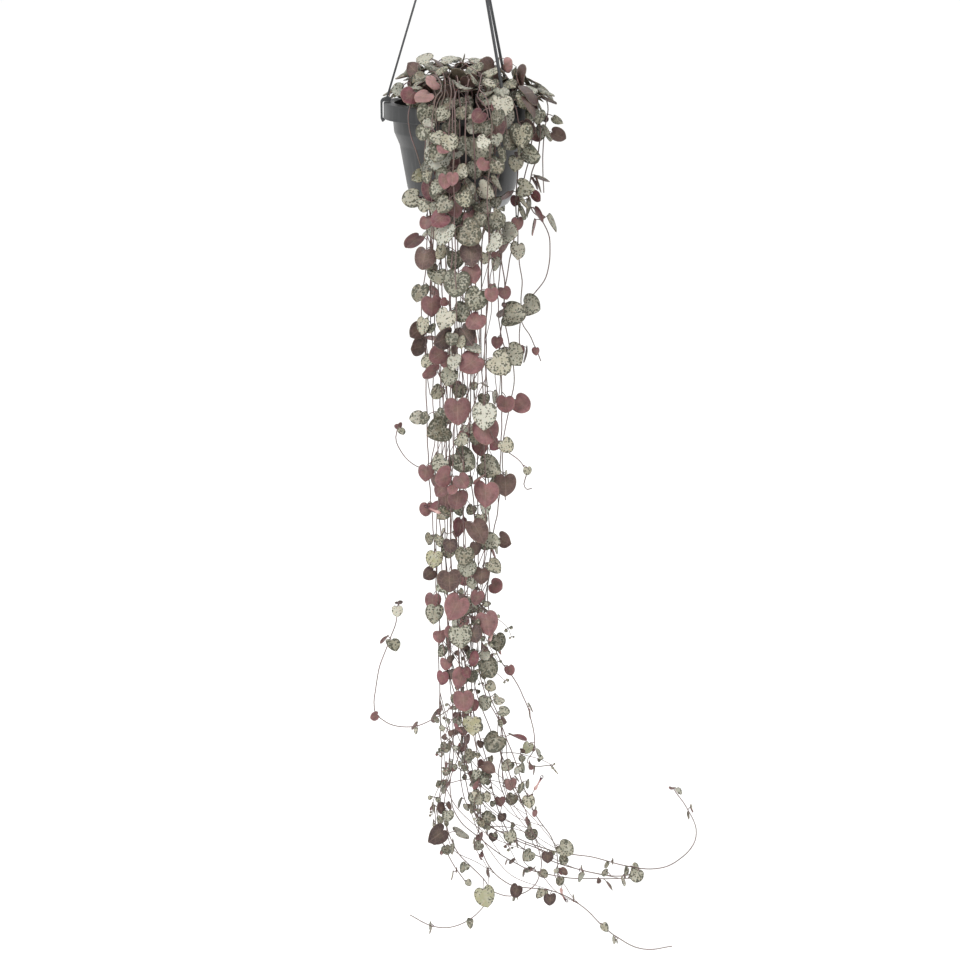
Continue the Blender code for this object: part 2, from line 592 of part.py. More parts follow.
def free_leaf(strand, root, angle, width, rng):
    """A leaf rooted on a stem that stands out from it at an angle and hangs by its own weight."""
    out = Vector((math.cos(angle), math.sin(angle), 0))
    stalk = 2.0 + width * rng.uniform(0.22, 0.34)
    first = unit(out + Vector((0, 0, rng.uniform(-0.1, 0.6))))
    over_soil = root.z > -6 and math.hypot(root.x, root.y) < 71
    hang = rng.uniform(-0.2, 0.5) if over_soil else rng.uniform(0.3, 0.9)
    axis = unit(out * rng.uniform(0.2, 0.9) + Vector((rng.gauss(0, 0.2), rng.gauss(0, 0.2), -hang)))
    normal = out * 0.7 + Vector((rng.gauss(0, 0.2), rng.gauss(0, 0.2), 0.8))
    leaf = {"owner": strand, "root": root, "notch": root + first * stalk, "axis": axis}
    leaf.update(normal=normal, width=width, tone=rng.choice("ggmocgp"), fold=rng.uniform(-0.5, 0.9))
    leaf["curl"] = rng.uniform(-0.3, 1.0)
    return leaf


def nearest_roots(strands, x, y, z, width):
    """Stem points that a leaf at this place could hang from, best first."""
    reach = 2.0 + width * 0.70
    found = []
    for s, course in enumerate(strands):
        for p in course:
            if p.z < -8 and math.hypot(p.x, p.y) < 60:
                continue
            if p.z < z - reach * 0.6 or p.z > z + reach:
                continue
            flat = math.hypot(p.x - x, p.z - z)
            if flat > reach * 1.25:
                continue
            cost = abs(flat / reach - 0.72)
            cost += abs(p.y - y) * 0.035 if y is not None else (p.y + 110) * 0.006
            found.append((cost, s, p))
    found.sort(key=lambda item: (item[0], item[1]))
    return found


def add_leaf(leaf, leaves, taken):
    leaves.append(leaf)
    points, faces = coarse_leaf(leaf)
    taken.add(points, faces, leaf["owner"], "leaf")


def place_aimed(strands, x, y, z, width, tone, leaves, taken, rng):
    for attempt, (_, s, root) in enumerate(nearest_roots(strands, x, y, z, width)[:44:2]):
        size = width * (1.0 if attempt < 12 else 0.84)
        for turn in (0.0, 1.0, -1.0):
            leaf = aimed_leaf(s, root, x, z, size, tone, rng, turn)
            if is_free(leaf, taken):
                add_leaf(leaf, leaves, taken)
                return leaf
    return None


def place_free(strand, root, angle, width, leaves, taken, rng):
    for attempt in range(7):
        size = width * (1.0 - 0.06 * attempt)
        leaf = free_leaf(strand, root, angle + rng.gauss(0, 0.25 + 0.12 * attempt), size, rng)
        if is_free(leaf, taken):
            add_leaf(leaf, leaves, taken)
            return leaf
    return None


def usual_width(z, rng):
    """Leaves are largest near the pot and smaller down the strands."""
    if z > -120:
        return rng.uniform(15, 21)
    if z > -420:
        return rng.uniform(13, 19)
    if z > -600:
        return rng.uniform(11, 16)
    return rng.uniform(9, 14)


def bare_spots(strands, leaves, rng):
    """Places for pairs of leaves on the bare lengths: close together over the soil, wider apart below."""
    first, later = [], []
    for s, course in enumerate(strands):
        roots = [leaf["root"] for leaf in leaves if leaf["owner"] == s]
        since = 0.0
        for i in range(1, len(course)):
            since += (course[i] - course[i - 1]).length
            p = course[i]
            r = math.hypot(p.x, p.y)
            over_soil = p.z > -6 and r < 70
            if p.z < -5 and r < 71:
                continue
            near = min([(p - q).length for q in roots], default=99.0)
            step = rng.uniform(11, 17) if over_soil else rng.uniform(36, 60)
            if near > step * 0.6 and since > step:
                since = 0.0
                spot = (s, p, rng.uniform(0, 2 * math.pi))
                (first if over_soil or p.y > 20 else later).append(spot)
        first.append((s, course[-1], rng.uniform(0, 2 * math.pi)))
    rng.shuffle(first)
    rng.shuffle(later)
    return first, later


def add_pairs(spots, limit, strands, leaves, taken, rng):
    for s, p, angle in spots:
        for half in (0.0, math.pi):
            if len(leaves) < limit:
                place_free(s, p, angle + half, usual_width(p.z, rng), leaves, taken, rng)


def fill_strands(strands, leaves, taken, rng):
    """Adds pairs over the soil and at the tips, opposite partners, then pairs on the bare lengths."""
    aimed = list(leaves)
    first, later = bare_spots(strands, leaves, rng)
    add_pairs(first, len(leaves) + CROWN_FILL, strands, leaves, taken, rng)
    for leaf in aimed:
        if len(leaves) < MOST_LEAVES - 45 and rng.random() < 0.45:
            out = leaf["notch"] - leaf["root"]
            angle = math.atan2(-out.y, -out.x)
            place_free(leaf["owner"], leaf["root"], angle, leaf["width"] * 0.9, leaves, taken, rng)
    add_pairs(later, MOST_LEAVES, strands, leaves, taken, rng)


def grow_plant(obstacles):
    """The courses of all stems, and every leaf with its place, size and tone."""
    rng = random.Random(11)
    names = [f"strand_{k + 1:02d}" for k in range(len(LONG_STRANDS) + len(BACK_STRANDS))]
    names += [f"crown_{k + 1:02d}" for k in range(len(CROWN_SHOOTS))]
    courses = [long_course(entry) for entry in LONG_STRANDS]
    courses += [back_course(entry, rng) for entry in BACK_STRANDS]
    courses += [shoot_course(entry) for entry in CROWN_SHOOTS]
    spread(courses)
    strands = clear_courses(courses)
    dense = [smooth_line(course) for course in strands]
    taken = Taken()
    for points, faces in obstacles:
        taken.add([Vector(p) for p in points], faces, None, "fixed")
    for s, course in enumerate(strands):
        for k in range(0, len(course) - 1, 3):
            points, faces = tube(course[k:k + 4], STEM_RADIUS + 0.35, 4)
            taken.add(points, faces, s, "stem")
    leaves, missed = [], 0
    for x, y, z, width, tone in sorted(CROWN_LEAVES, key=lambda item: -item[3]):
        missed += place_aimed(dense, x, y, z, width, tone, leaves, taken, rng) is None
    for x, z, width, tone in sorted(HANGING_LEAVES, key=lambda item: -item[2]):
        missed += place_aimed(dense, x, None, z, width, tone, leaves, taken, rng) is None
    aimed = len(leaves)
    fill_strands(dense, leaves, taken, rng)
    print("aimed leaves", aimed, "missed", missed, "all leaves", len(leaves))
    return names, strands, leaves


def smooth_line(course):
    """The straight pieces of a simplified course, cut into short steps for rooting leaves."""
    points = [course[0]]
    for a, b in zip(course, course[1:]):
        count = max(1, round((b - a).length / 4.0))
        points += [a.lerp(b, k / count) for k in range(1, count + 1)]
    return points


# Sub-parts

def pot_shape():
    inner_top = [(60.2, -0.7)]
    outline = POT_OUTER + POT_FLOOR + POT_INNER + inner_top
    return lathe(outline, POT_STEPS)


def tray_shape():
    axis_points = [(0.0, -92.4)]
    outline = TRAY_OUTLINE + axis_points + [(0.0, -76.6)] + TRAY_INSIDE[::-1] + [(41.0, -90.6)]
    return lathe(outline, TRAY_STEPS)


def soil_shape():
    rng = random.Random(5)
    points = [Vector((0, 0, SOIL_LEVEL + 2.0))]
    for r in SOIL_TOP_RINGS:
        for k in range(SOIL_SEGMENTS):
            a = 2 * math.pi * (k + rng.uniform(-0.25, 0.25)) / SOIL_SEGMENTS
            rr = r + rng.uniform(-2, 2)
            z = SOIL_LEVEL + 2.0 * (1 - (r / 60) ** 2) + rng.uniform(-1.1, 1.1)
            points.append(Vector((rr * math.cos(a), rr * math.sin(a), z)))
    for r, z in SOIL_SIDES:
        for k in range(SOIL_SEGMENTS):
            a = 2 * math.pi * k / SOIL_SEGMENTS
            points.append(Vector((r * math.cos(a), r * math.sin(a), z)))
    points.append(Vector((0, 0, SOIL_SIDES[-1][1])))
    n = SOIL_SEGMENTS
    rings = len(SOIL_TOP_RINGS) + len(SOIL_SIDES)
    faces = [(0, 1 + k, 1 + (k + 1) % n) for k in range(n)]
    for ring in range(rings - 1):
        a, b = 1 + ring * n, 1 + (ring + 1) * n
        for k in range(n):
            j = (k + 1) % n
            faces += [(a + k, b + k, b + j), (a + k, b + j, a + j)]
    last = 1 + (rings - 1) * n
    faces += [(len(points) - 1, last + (k + 1) % n, last + k) for k in range(n)]
    return points, faces


def strap_shape(angle):
    top = Vector((STRAP_TOP_RADIUS, STRAP_TOP_Z))
    foot = Vector((STRAP_FOOT_RADIUS, STRAP_FOOT_Z))
    along = (foot - top).normalized()
    off = Vector((-along.y, along.x)) * (STRAP_DEPTH / 2)
    foot = foot + along * 2.5
    outline = [top + off, top - off, foot - off, foot + off]
    return prism([(p.x, p.y) for p in outline], angle, STRAP_WIDTH)


def clip_shape(angle):
    outline = [(63.4, 0.5), (69.6, 0.5), (71.0, -0.6), (71.0, -14.9), (69.0, -15.0), (68.6, -16.2)]
    outline += [(71.2, -18.4), (72.8, -15.0), (72.8, 1.2), (71.4, 2.9), (68.6, 4.2), (64.2, 4.2), (63.0, 2.6)]
    return prism(outline, angle, CLIP_WIDTH)


def hook_path():
    centre_z = HOOK_BEARING_Z + HOOK_ROD_RADIUS - HOOK_BEND_RADIUS
    path = [Vector((0, 0, YOKE_TOP_Z - 2.0))]
    for k in range(11):
        angle = math.radians(-90 - k * 25)
        x = HOOK_BEND_RADIUS * math.cos(angle)
        path.append(Vector((x, 0, centre_z + HOOK_BEND_RADIUS * math.sin(angle))))
    return path


def make_hook(collection, mat):
    outline = [(2.2, YOKE_TOP_Z), (YOKE_RADIUS, YOKE_TOP_Z - 4.0), (YOKE_RADIUS, YOKE_BOTTOM_Z + 1.5)]
    outline += [(YOKE_RADIUS - 1.5, YOKE_BOTTOM_Z), (0.0, YOKE_BOTTOM_Z), (0.0, YOKE_TOP_Z)]
    yoke = new_object("hanger_hook", *lathe(outline, 14), collection, mat)
    clean(yoke)
    rod = new_object("rod", *tube(hook_path(), HOOK_ROD_RADIUS, 6, 1.3), collection, mat)
    apply_boolean(yoke, "UNION", [rod])
    slots = []
    for angle in STRAP_ANGLES.values():
        along = Vector((STRAP_FOOT_RADIUS - STRAP_TOP_RADIUS, STRAP_FOOT_Z - STRAP_TOP_Z)).normalized()
        off = Vector((-along.y, along.x)) * (STRAP_DEPTH / 2 + 0.3)
        top = Vector((STRAP_TOP_RADIUS, STRAP_TOP_Z)) - along * 0.4
        end = top + along * 12.0
        outline = [top + off, top - off, end - off, end + off]
        shape = prism([(p.x, p.y) for p in outline], angle, STRAP_WIDTH + 0.6)
        slots.append(new_object("slot", *shape, collection, mat))
    apply_boolean(yoke, "DIFFERENCE", slots)
    return yoke


def clean(obj):
    """Merges points that a lathe left on the axis."""
    bm = bmesh.new()
    bm.from_mesh(obj.data)
    bmesh.ops.remove_doubles(bm, verts=bm.verts, dist=0.0001)
    bmesh.ops.dissolve_degenerate(bm, edges=bm.edges, dist=0.0001)
    bmesh.ops.recalc_face_normals(bm, faces=bm.faces)
    bm.to_mesh(obj.data)
    bm.free()


def keep_outer_shell(obj):
    """Fills any hollow that the union sealed and drops loose scraps: only the largest shell stays."""
    bm = bmesh.new()
    bm.from_mesh(obj.data)
    waiting = set(bm.faces)
    shells = []
    while waiting:
        shell, edge_of = [], [waiting.pop()]
        while edge_of:
            face = edge_of.pop()
            shell.append(face)
            for edge in face.edges:
                for other in edge.link_faces:
                    if other in waiting:
                        waiting.discard(other)
                        edge_of.append(other)
        shells.append(shell)
    shells.sort(key=lambda shell: -sum(face.calc_area() for face in shell))
    for shell in shells[1:]:
        bmesh.ops.delete(bm, geom=shell, context="FACES")
    bm.to_mesh(obj.data)
    bm.free()


def make_pot(collection, mat):
    pot = new_object("pot", *pot_shape(), collection, mat)
    drains = []
    for k in range(4):
        angle = math.radians(45 + 90 * k)
        centre = Vector((DRAIN_RING * math.cos(angle), DRAIN_RING * math.sin(angle), 0))
        path = [centre + Vector((0, 0, -84)), centre + Vector((0, 0, -78))]
        drains.append(new_object("drain", *tube(path, DRAIN_RADIUS, 8), collection, mat))
    apply_boolean(pot, "DIFFERENCE", drains)
    return pot


def make_soil(collection, mat, strands):
    soil = new_object("soil", *soil_shape(), collection, mat)
    cutters = []
    for course in strands:
        foot = course[0]
        path = [Vector((foot.x, foot.y, HOLE_BOTTOM)), Vector((foot.x, foot.y, 0.0))]
        cutters.append(new_object("hole", *tube(path, HOLE_RADIUS, 3), collection, mat))
    post = [Vector((0, 0, -82)), Vector((0, 0, -75.9))]
    cutters.append(new_object("post_room", *tube(post, 7.6, 8), collection, mat))
    apply_boolean(soil, "DIFFERENCE", cutters)
    return soil


def make_strand(name, course, leaves, collection, mat):
    stem = new_object(name, *tube(course, STEM_RADIUS, 3, 0.7), collection, mat)
    parts = [new_object("leaf", *coarse_leaf(leaf), collection, mat) for leaf in leaves]
    if parts:
        apply_boolean(stem, "UNION", parts)
        keep_outer_shell(stem)
    return stem


def clear_scene():
    for obj in list(bpy.data.objects):
        bpy.data.objects.remove(obj)


def main():
    clear_scene()
    collection = bpy.data.collections.new(COLLECTION_NAME)
    bpy.context.scene.collection.children.link(collection)
    pot_plastic = new_material("pot_plastic", (0.05, 0.05, 0.055), 0.45)
    tray_plastic = new_material("tray_plastic", (0.16, 0.16, 0.17), 0.45)
    hanger_plastic = new_material("hanger_plastic", (0.04, 0.04, 0.045), 0.5)
    potting_mix = new_material("potting_mix", (0.06, 0.04, 0.03), 0.95)
    leaf_green = new_material("leaf_green", (0.30, 0.33, 0.22), 0.5)
    obstacles = [pot_shape(), tray_shape(), soil_shape()]
    for angle in STRAP_ANGLES.values():
        obstacles += [strap_shape(angle), clip_shape(angle)]
    names, strands, leaves = grow_plant(obstacles)
    made = [make_pot(collection, pot_plastic)]
    tray = new_object("drip_tray", *tray_shape(), collection, tray_plastic)
    clean(tray)
    made += [tray, make_soil(collection, potting_mix, strands), make_hook(collection, hanger_plastic)]
    for where, angle in STRAP_ANGLES.items():
        strap = new_object(f"hanger_strap_{where}", *strap_shape(angle), collection, hanger_plastic)
        clip = new_object("clip", *clip_shape(angle), collection, hanger_plastic)
        apply_boolean(strap, "UNION", [clip])
        made.append(strap)
    for s, name in enumerate(names):
        own = [leaf for leaf in leaves if leaf["owner"] == s]
        made.append(make_strand(name, strands[s], own, collection, leaf_green))
    for obj in made:
        obj.data.transform(to_metres())
        obj.data.update()
    return made


def to_metres():

    return Matrix.Translation((0, 0, -HOOK_BEARING_Z * MM)) @ Matrix.Scale(MM, 4)


main()
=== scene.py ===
# %% [markdown]
# # String of hearts in a hanging pot
# A string of hearts is a trailing plant with thin stems and pairs of small, spotted, heart-shaped leaves.
# Here it fills a dark plastic pot that hangs by three straps. The solid model is loaded first as a fixed
# frame, and every fine piece below is built around it in the same place. Its box is kept, so that the
# leaves and shoots added later stay inside it.

# %% Load the frame
import json
import math
import random
from itertools import combinations

import bmesh
import bpy
from mathutils import Matrix, Vector, noise
from mathutils.bvhtree import BVHTree
from mathutils.kdtree import KDTree

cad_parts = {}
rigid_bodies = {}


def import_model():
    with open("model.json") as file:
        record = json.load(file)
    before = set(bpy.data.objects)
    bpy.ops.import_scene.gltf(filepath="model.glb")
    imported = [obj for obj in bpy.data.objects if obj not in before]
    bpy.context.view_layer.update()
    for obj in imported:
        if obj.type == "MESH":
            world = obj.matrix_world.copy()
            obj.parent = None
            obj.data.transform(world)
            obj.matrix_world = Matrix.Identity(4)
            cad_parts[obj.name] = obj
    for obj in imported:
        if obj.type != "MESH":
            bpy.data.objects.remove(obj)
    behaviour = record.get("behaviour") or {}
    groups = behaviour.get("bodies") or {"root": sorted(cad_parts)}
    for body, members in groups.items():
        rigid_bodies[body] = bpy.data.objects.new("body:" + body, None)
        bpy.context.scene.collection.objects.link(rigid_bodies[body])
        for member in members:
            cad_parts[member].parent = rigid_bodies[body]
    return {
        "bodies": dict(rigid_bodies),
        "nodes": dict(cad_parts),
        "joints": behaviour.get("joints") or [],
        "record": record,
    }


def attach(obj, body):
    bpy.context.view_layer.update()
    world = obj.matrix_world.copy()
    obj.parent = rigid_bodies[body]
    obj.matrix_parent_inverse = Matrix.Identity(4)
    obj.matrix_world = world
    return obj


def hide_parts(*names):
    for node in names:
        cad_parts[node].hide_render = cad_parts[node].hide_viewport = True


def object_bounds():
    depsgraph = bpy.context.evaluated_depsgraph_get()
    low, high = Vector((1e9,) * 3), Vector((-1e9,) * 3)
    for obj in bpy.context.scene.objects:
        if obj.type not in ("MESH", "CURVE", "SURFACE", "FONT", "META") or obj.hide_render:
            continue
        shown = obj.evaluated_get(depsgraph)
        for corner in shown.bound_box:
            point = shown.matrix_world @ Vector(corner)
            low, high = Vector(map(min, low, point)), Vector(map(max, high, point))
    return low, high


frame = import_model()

cad_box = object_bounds()
print("CAD box", [[round(c, 4) for c in corner] for corner in cad_box])

# %% [markdown]
# ## Camera
# The camera comes first, because everything is judged through it. The photograph was taken from a little
# above the rim, looking down by 16 degrees. A pinhole camera needs only a place, a tilt and a focal length,
# and these three were solved from the ellipse of the rim and the length of the strands. The lens follows
# from the focal length in pixels and the width of the frame.

# %% Camera
MM = 0.001
RIM_BELOW_HOOK = 237.0
CAMERA_ACROSS, CAMERA_BACK, CAMERA_OVER_RIM = 0.016843, 1.900, 0.190
CAMERA_TILT = 15.995
FOCAL_PIXELS, FRAME_PIXELS, SENSOR_MM = 2086.0, 960.0, 36.0

scene = bpy.context.scene
lens = bpy.data.cameras.new("camera")
lens.sensor_width = SENSOR_MM
lens.lens = SENSOR_MM * FOCAL_PIXELS / FRAME_PIXELS
camera = bpy.data.objects.new("camera", lens)
camera.location = (CAMERA_ACROSS, -CAMERA_BACK, CAMERA_OVER_RIM - RIM_BELOW_HOOK * MM)
camera.rotation_euler = (math.radians(90.0 - CAMERA_TILT), 0.0, 0.0)
scene.collection.objects.link(camera)
scene.camera = camera
print("camera at", [round(c, 3) for c in camera.location], "lens", round(lens.lens, 1), "mm")

# %% [markdown]
# ## Soft studio light
# The photograph is a cut-out on white, lit so softly that only the gaps between the leaves are dark. A
# white world gives that even light. A large round lamp from the upper left gives the leaves their form, and
# two weak ones keep the right side and the back from going flat.

# %% Soft studio light
WORLD_STRENGTH = 0.94
LAMPS = {  # place, aimed at, diameter in metres, watts
    "key": ((-1.5, -2.2, 1.6), (0.0, 0.0, -0.45), 1.0, 62.0),
    "fill": ((2.2, -1.6, 0.2), (0.0, 0.0, -0.5), 1.8, 4.0),
    "back": ((0.4, 2.0, 1.4), (0.0, 0.0, -0.4), 1.4, 8.0),
}

scene.view_settings.view_transform = "Standard"
world = bpy.data.worlds.new("studio")
world.use_nodes = True
world.node_tree.nodes["Background"].inputs["Color"].default_value = (1.0, 1.0, 1.0, 1.0)
world.node_tree.nodes["Background"].inputs["Strength"].default_value = WORLD_STRENGTH
scene.world = world
for name, (place, aim, size, watts) in LAMPS.items():
    lamp = bpy.data.lights.new(name, "AREA")
    lamp.shape, lamp.size, lamp.energy = "DISK", size, watts
    holder = bpy.data.objects.new(name, lamp)
    holder.location = place
    holder.rotation_euler = (Vector(aim) - Vector(place)).to_track_quat("-Z", "Y").to_euler()
    scene.collection.objects.link(holder)
print("lamps", {name: lamp[3] for name, lamp in LAMPS.items()})

# %% [markdown]
# ## Colours and nodes
# Colours are picked as sRGB hex values, as a paint program shows them, but a shader works with linear
# light, so one function turns the first into the second. A second function adds a node with its settings
# and links. That is enough for every material here: the nodes are added from the pattern to the surface,
# each one linked to those before it.

# %% Colours and nodes
def linear(code):
    """A colour written as sRGB hex, such as A5AA91, as the linear values that shaders take."""
    parts = [int(code[k:k + 2], 16) / 255 for k in (0, 2, 4)]
    return tuple(c / 12.92 if c <= 0.04045 else ((c + 0.055) / 1.055) ** 2.4 for c in parts)


def add(tree, kind, inputs=None, stops=(), **settings):
    """Adds a node with its settings. An input given as (node, output) is linked; stops are those of a ramp."""
    node = tree.nodes.new("ShaderNode" + kind)
    for name, value in settings.items():
        setattr(node, name, value)
    for name, value in (inputs or {}).items():
        socket = node.inputs[name]
        if isinstance(value, tuple) and hasattr(value[0], "outputs"):
            tree.links.new(value[0].outputs[value[1]], socket)
        else:
            socket.default_value = (*value, 1.0) if socket.type == "RGBA" else value
    for k, (position, value) in enumerate(stops):
        stop = node.color_ramp.elements[k] if k < 2 else node.color_ramp.elements.new(position)
        stop.position = position
        stop.color = (*value, 1.0) if isinstance(value, tuple) else (value, value, value, 1.0)
    return node


def empty_material(name):
    """A material and its node tree, with nothing in it yet."""
    material = bpy.data.materials.new(name)
    material.use_nodes = True
    material.node_tree.nodes.clear()
    return material, material.node_tree


print("mid grey 808080 is", round(linear("808080")[0], 3), "in linear light")

# %% [markdown]
# ## Floor of studio paper
# The backdrop is a roll of matt white paper. Its surface was pressed smooth between rollers, so it gives
# the eye no gloss, only a very faint mottle. It is one flat sheet under the lowest tip, wide enough to fill
# the view from any side, and a weak glow of its own keeps it as white as the photograph's background.

# %% Floor of studio paper
FLOOR_Z, FLOOR_REACH, FLOOR_CELLS = -1.115, 45.0, 30
PAPER_MOTTLE_MM = 25.0  # real fibres are too fine to see from here, so the mottle is drawn this coarse

paper, tree = empty_material("calendered_studio_paper")
where = add(tree, "TexCoord")
mottle = add(tree, "TexNoise", {"Vector": (where, "Object"), "Scale": 1 / (PAPER_MOTTLE_MM * MM),
    "Detail": 4.0})
tone = add(tree, "ValToRGB", {"Fac": (mottle, "Fac")}, [(0.3, linear("FBFBFA")), (0.7, linear("FEFEFD"))])
shader = add(tree, "BsdfPrincipled", {"Base Color": (tone, "Color"), "Roughness": 0.95,
    "Specular IOR Level": 0.1, "Emission Color": (1.0, 1.0, 1.0), "Emission Strength": 0.10})
add(tree, "OutputMaterial", {"Surface": (shader, "BSDF")})

row = FLOOR_CELLS + 1
marks = [FLOOR_REACH * (2 * i / FLOOR_CELLS - 1) for i in range(row)]
points = [(x, y, FLOOR_Z) for y in marks for x in marks]
faces = [(j * row + i, j * row + i + 1, (j + 1) * row + i + 1, (j + 1) * row + i)
    for j in range(FLOOR_CELLS) for i in range(FLOOR_CELLS)]
sheet = bpy.data.meshes.new("floor")
sheet.from_pydata(points, [], faces)
sheet.materials.append(paper)
floor = bpy.data.objects.new("floor", sheet)
scene.collection.objects.link(floor)
print("floor", len(faces), "faces at", FLOOR_Z, "m")

# %% [markdown]
# ## Outlines of the pot, the tray and the soil
# The plant was grown round its pot, so the same outlines are needed first. All lengths are in millimetres
# above or below the pot's rim, and the last step of each piece moves them into the frame, whose origin is
# the hook's bearing. A pot, a tray and a filling are round, so each is one outline of radius and height,
# turned about the upright axis as on a lathe.

# %% Outlines of the pot, the tray and the soil
COARSE_STEPS = 26
POT_OUTLINE = [(60.8, 0.0), (69.2, 0.0), (70.0, -0.9), (70.0, -12.2), (70.5, -14.2), (68.6, -14.2),
    (68.2, -2.2), (62.1, -2.2), (61.9, -14.0), (60.8, -26.5), (55.9, -38.0), (49.1, -77.0), (47.6, -80.4),
    (44.6, -82.0), (5.4, -82.0), (5.4, -79.8), (45.9, -79.8), (47.2, -76.6), (53.9, -38.6), (58.8, -27.2),
    (60.0, -14.0), (60.2, -0.7)]
TRAY_OUTSIDE = [(44.0, -83.4), (46.4, -83.4), (46.4, -85.0), (42.6, -91.2), (40.0, -92.4)]
TRAY_ON_AXIS = [(0.0, -92.4), (0.0, -76.6)]
TRAY_INSIDE = [(4.0, -76.6), (6.6, -79.1), (4.6, -79.4), (4.6, -90.6), (41.0, -90.6)]
TRAY_OUTLINE = TRAY_OUTSIDE + TRAY_ON_AXIS + TRAY_INSIDE


def polar(angle, r=1.0, z=0.0):
    """The point at an angle round the pot's axis, at a radius and a height."""
    return Vector((r * math.cos(angle), r * math.sin(angle), z))


def off_axis(p):
    return math.hypot(p.x, p.y)


def ring_faces(rings, sides, start=0):
    """Four-sided faces between neighbouring rings of points."""
    return [(a + k, a + (k + 1) % sides, a + sides + (k + 1) % sides, a + sides + k)
        for a in range(start, start + (rings - 1) * sides, sides) for k in range(sides)]


def lathe(outline, steps):
    """Points and faces of a closed (radius, height) outline turned about the z axis."""
    points = [polar(2 * math.pi * k / steps, r, z) for k in range(steps) for r, z in outline]
    return points, [tuple(i % len(points) for i in face) for face in ring_faces(steps + 1, len(outline))]


print("pot", len(POT_OUTLINE), "corners, tray", len(TRAY_OUTLINE), "corners")

# %% The lumpy soil
SOIL_TOP_RINGS = [16.0, 32.0, 47.0]
SOIL_SIDES = [(59.3, -13.0), (58.3, -27.5), (53.4, -38.8), (46.7, -76.4), (45.4, -79.3)]
SOIL_LEVEL, SOIL_DOME, SOIL_RADIUS = -12.0, 2.0, 60.0


def disc_faces(rings, sides):
    """Faces of a disc: point 0 in the middle and rings of points round it."""
    fan = [(0, 1 + k, 1 + (k + 1) % sides) for k in range(sides)]
    return fan + [(a, d, c, b) for a, b, c, d in ring_faces(rings, sides, 1)]


def lump_faces(rings, sides):
    """Faces of a closed lump: a disc whose rings run on down to a last point."""
    last = 1 + (rings - 1) * sides
    return disc_faces(rings, sides) + [(last + sides, last + (k + 1) % sides, last + k) for k in range(sides)]


def soil_shape():
    rng = random.Random(5)
    n, points = COARSE_STEPS, [Vector((0, 0, SOIL_LEVEL + SOIL_DOME))]
    for r in SOIL_TOP_RINGS:
        for k in range(n):
            angle = 2 * math.pi * (k + rng.uniform(-0.25, 0.25)) / n
            out = r + rng.uniform(-2, 2)
            lump = rng.uniform(-1.1, 1.1)
            points.append(polar(angle, out, SOIL_LEVEL + SOIL_DOME * (1 - (r / SOIL_RADIUS) ** 2) + lump))
    points += [polar(2 * math.pi * k / n, r, z) for r, z in SOIL_SIDES for k in range(n)]
    points.append(Vector((0, 0, SOIL_SIDES[-1][1])))
    return points, lump_faces(len(SOIL_TOP_RINGS) + len(SOIL_SIDES), n)


print("soil fills the pot to", -SOIL_LEVEL, "mm under the rim")

# %% [markdown]
# ## Straps of the hanger
# Three flat straps run from a yoke under the hook to the rim, and each ends in a clip bent over it. A strap
# is the same flat outline all the way across, so it is extruded sideways out of the upright plane through
# the axis. The plant keeps clear of these straps when it grows.

# %% Straps of the hanger
STRAP_ANGLES = {"left": 180.0, "front": -55.0, "back": 51.0}
STRAP_WIDTH, STRAP_DEPTH, CLIP_WIDTH = 2.6, 1.8, 5.0
STRAP_TOP, STRAP_FOOT = Vector((3.4, 208.0)), Vector((66.5, 4.6))
STRAP_DOWN = (STRAP_FOOT - STRAP_TOP).normalized()
CLIP_OUTLINE = [(63.4, 0.5), (69.6, 0.5), (71.0, -0.6), (71.0, -14.9), (69.0, -15.0), (68.6, -16.2),
    (71.2, -18.4), (72.8, -15.0), (72.8, 1.2), (71.4, 2.9), (68.6, 4.2), (64.2, 4.2), (63.0, 2.6)]


def prism(outline, angle, width):
    """A (radius, height) outline in the plane through the axis at an angle, extruded across that plane."""
    out, up = polar(math.radians(angle)), Vector((0, 0, 1))
    side = Vector((-out.y, out.x, 0)) * (width / 2)
    points = [out * r + up * z + side for r, z in outline] + [out * r + up * z - side for r, z in outline]
    n = len(outline)
    faces = [tuple(range(n)), tuple(range(2 * n - 1, n - 1, -1))]
    faces += [(i, n + i, n + (i + 1) % n, (i + 1) % n) for i in range(n)]
    return points, faces


def strap_shape(angle, top=STRAP_TOP, foot=STRAP_FOOT + STRAP_DOWN * 2.5, room=0.0):
    """A length of strap at an angle round the axis, with some room left on all its sides."""
    off = Vector((-STRAP_DOWN.y, STRAP_DOWN.x)) * (STRAP_DEPTH / 2 + room)
    return prism([top + off, top - off, foot - off, foot + off], angle, STRAP_WIDTH + 2 * room)


print("straps stand at", STRAP_ANGLES)

# %% [markdown]
# ## Courses of the stems
# A stem is a line before it is a tube. The courses of the long stems were read off the photograph as pairs
# of distance across and height, and the depth follows from how far out the stem leaves the rim. Every
# course starts in the soil, rises, and arches over the rim. A smooth curve through a few points is enough,
# because a thin stem under its own weight has no sharp bend.

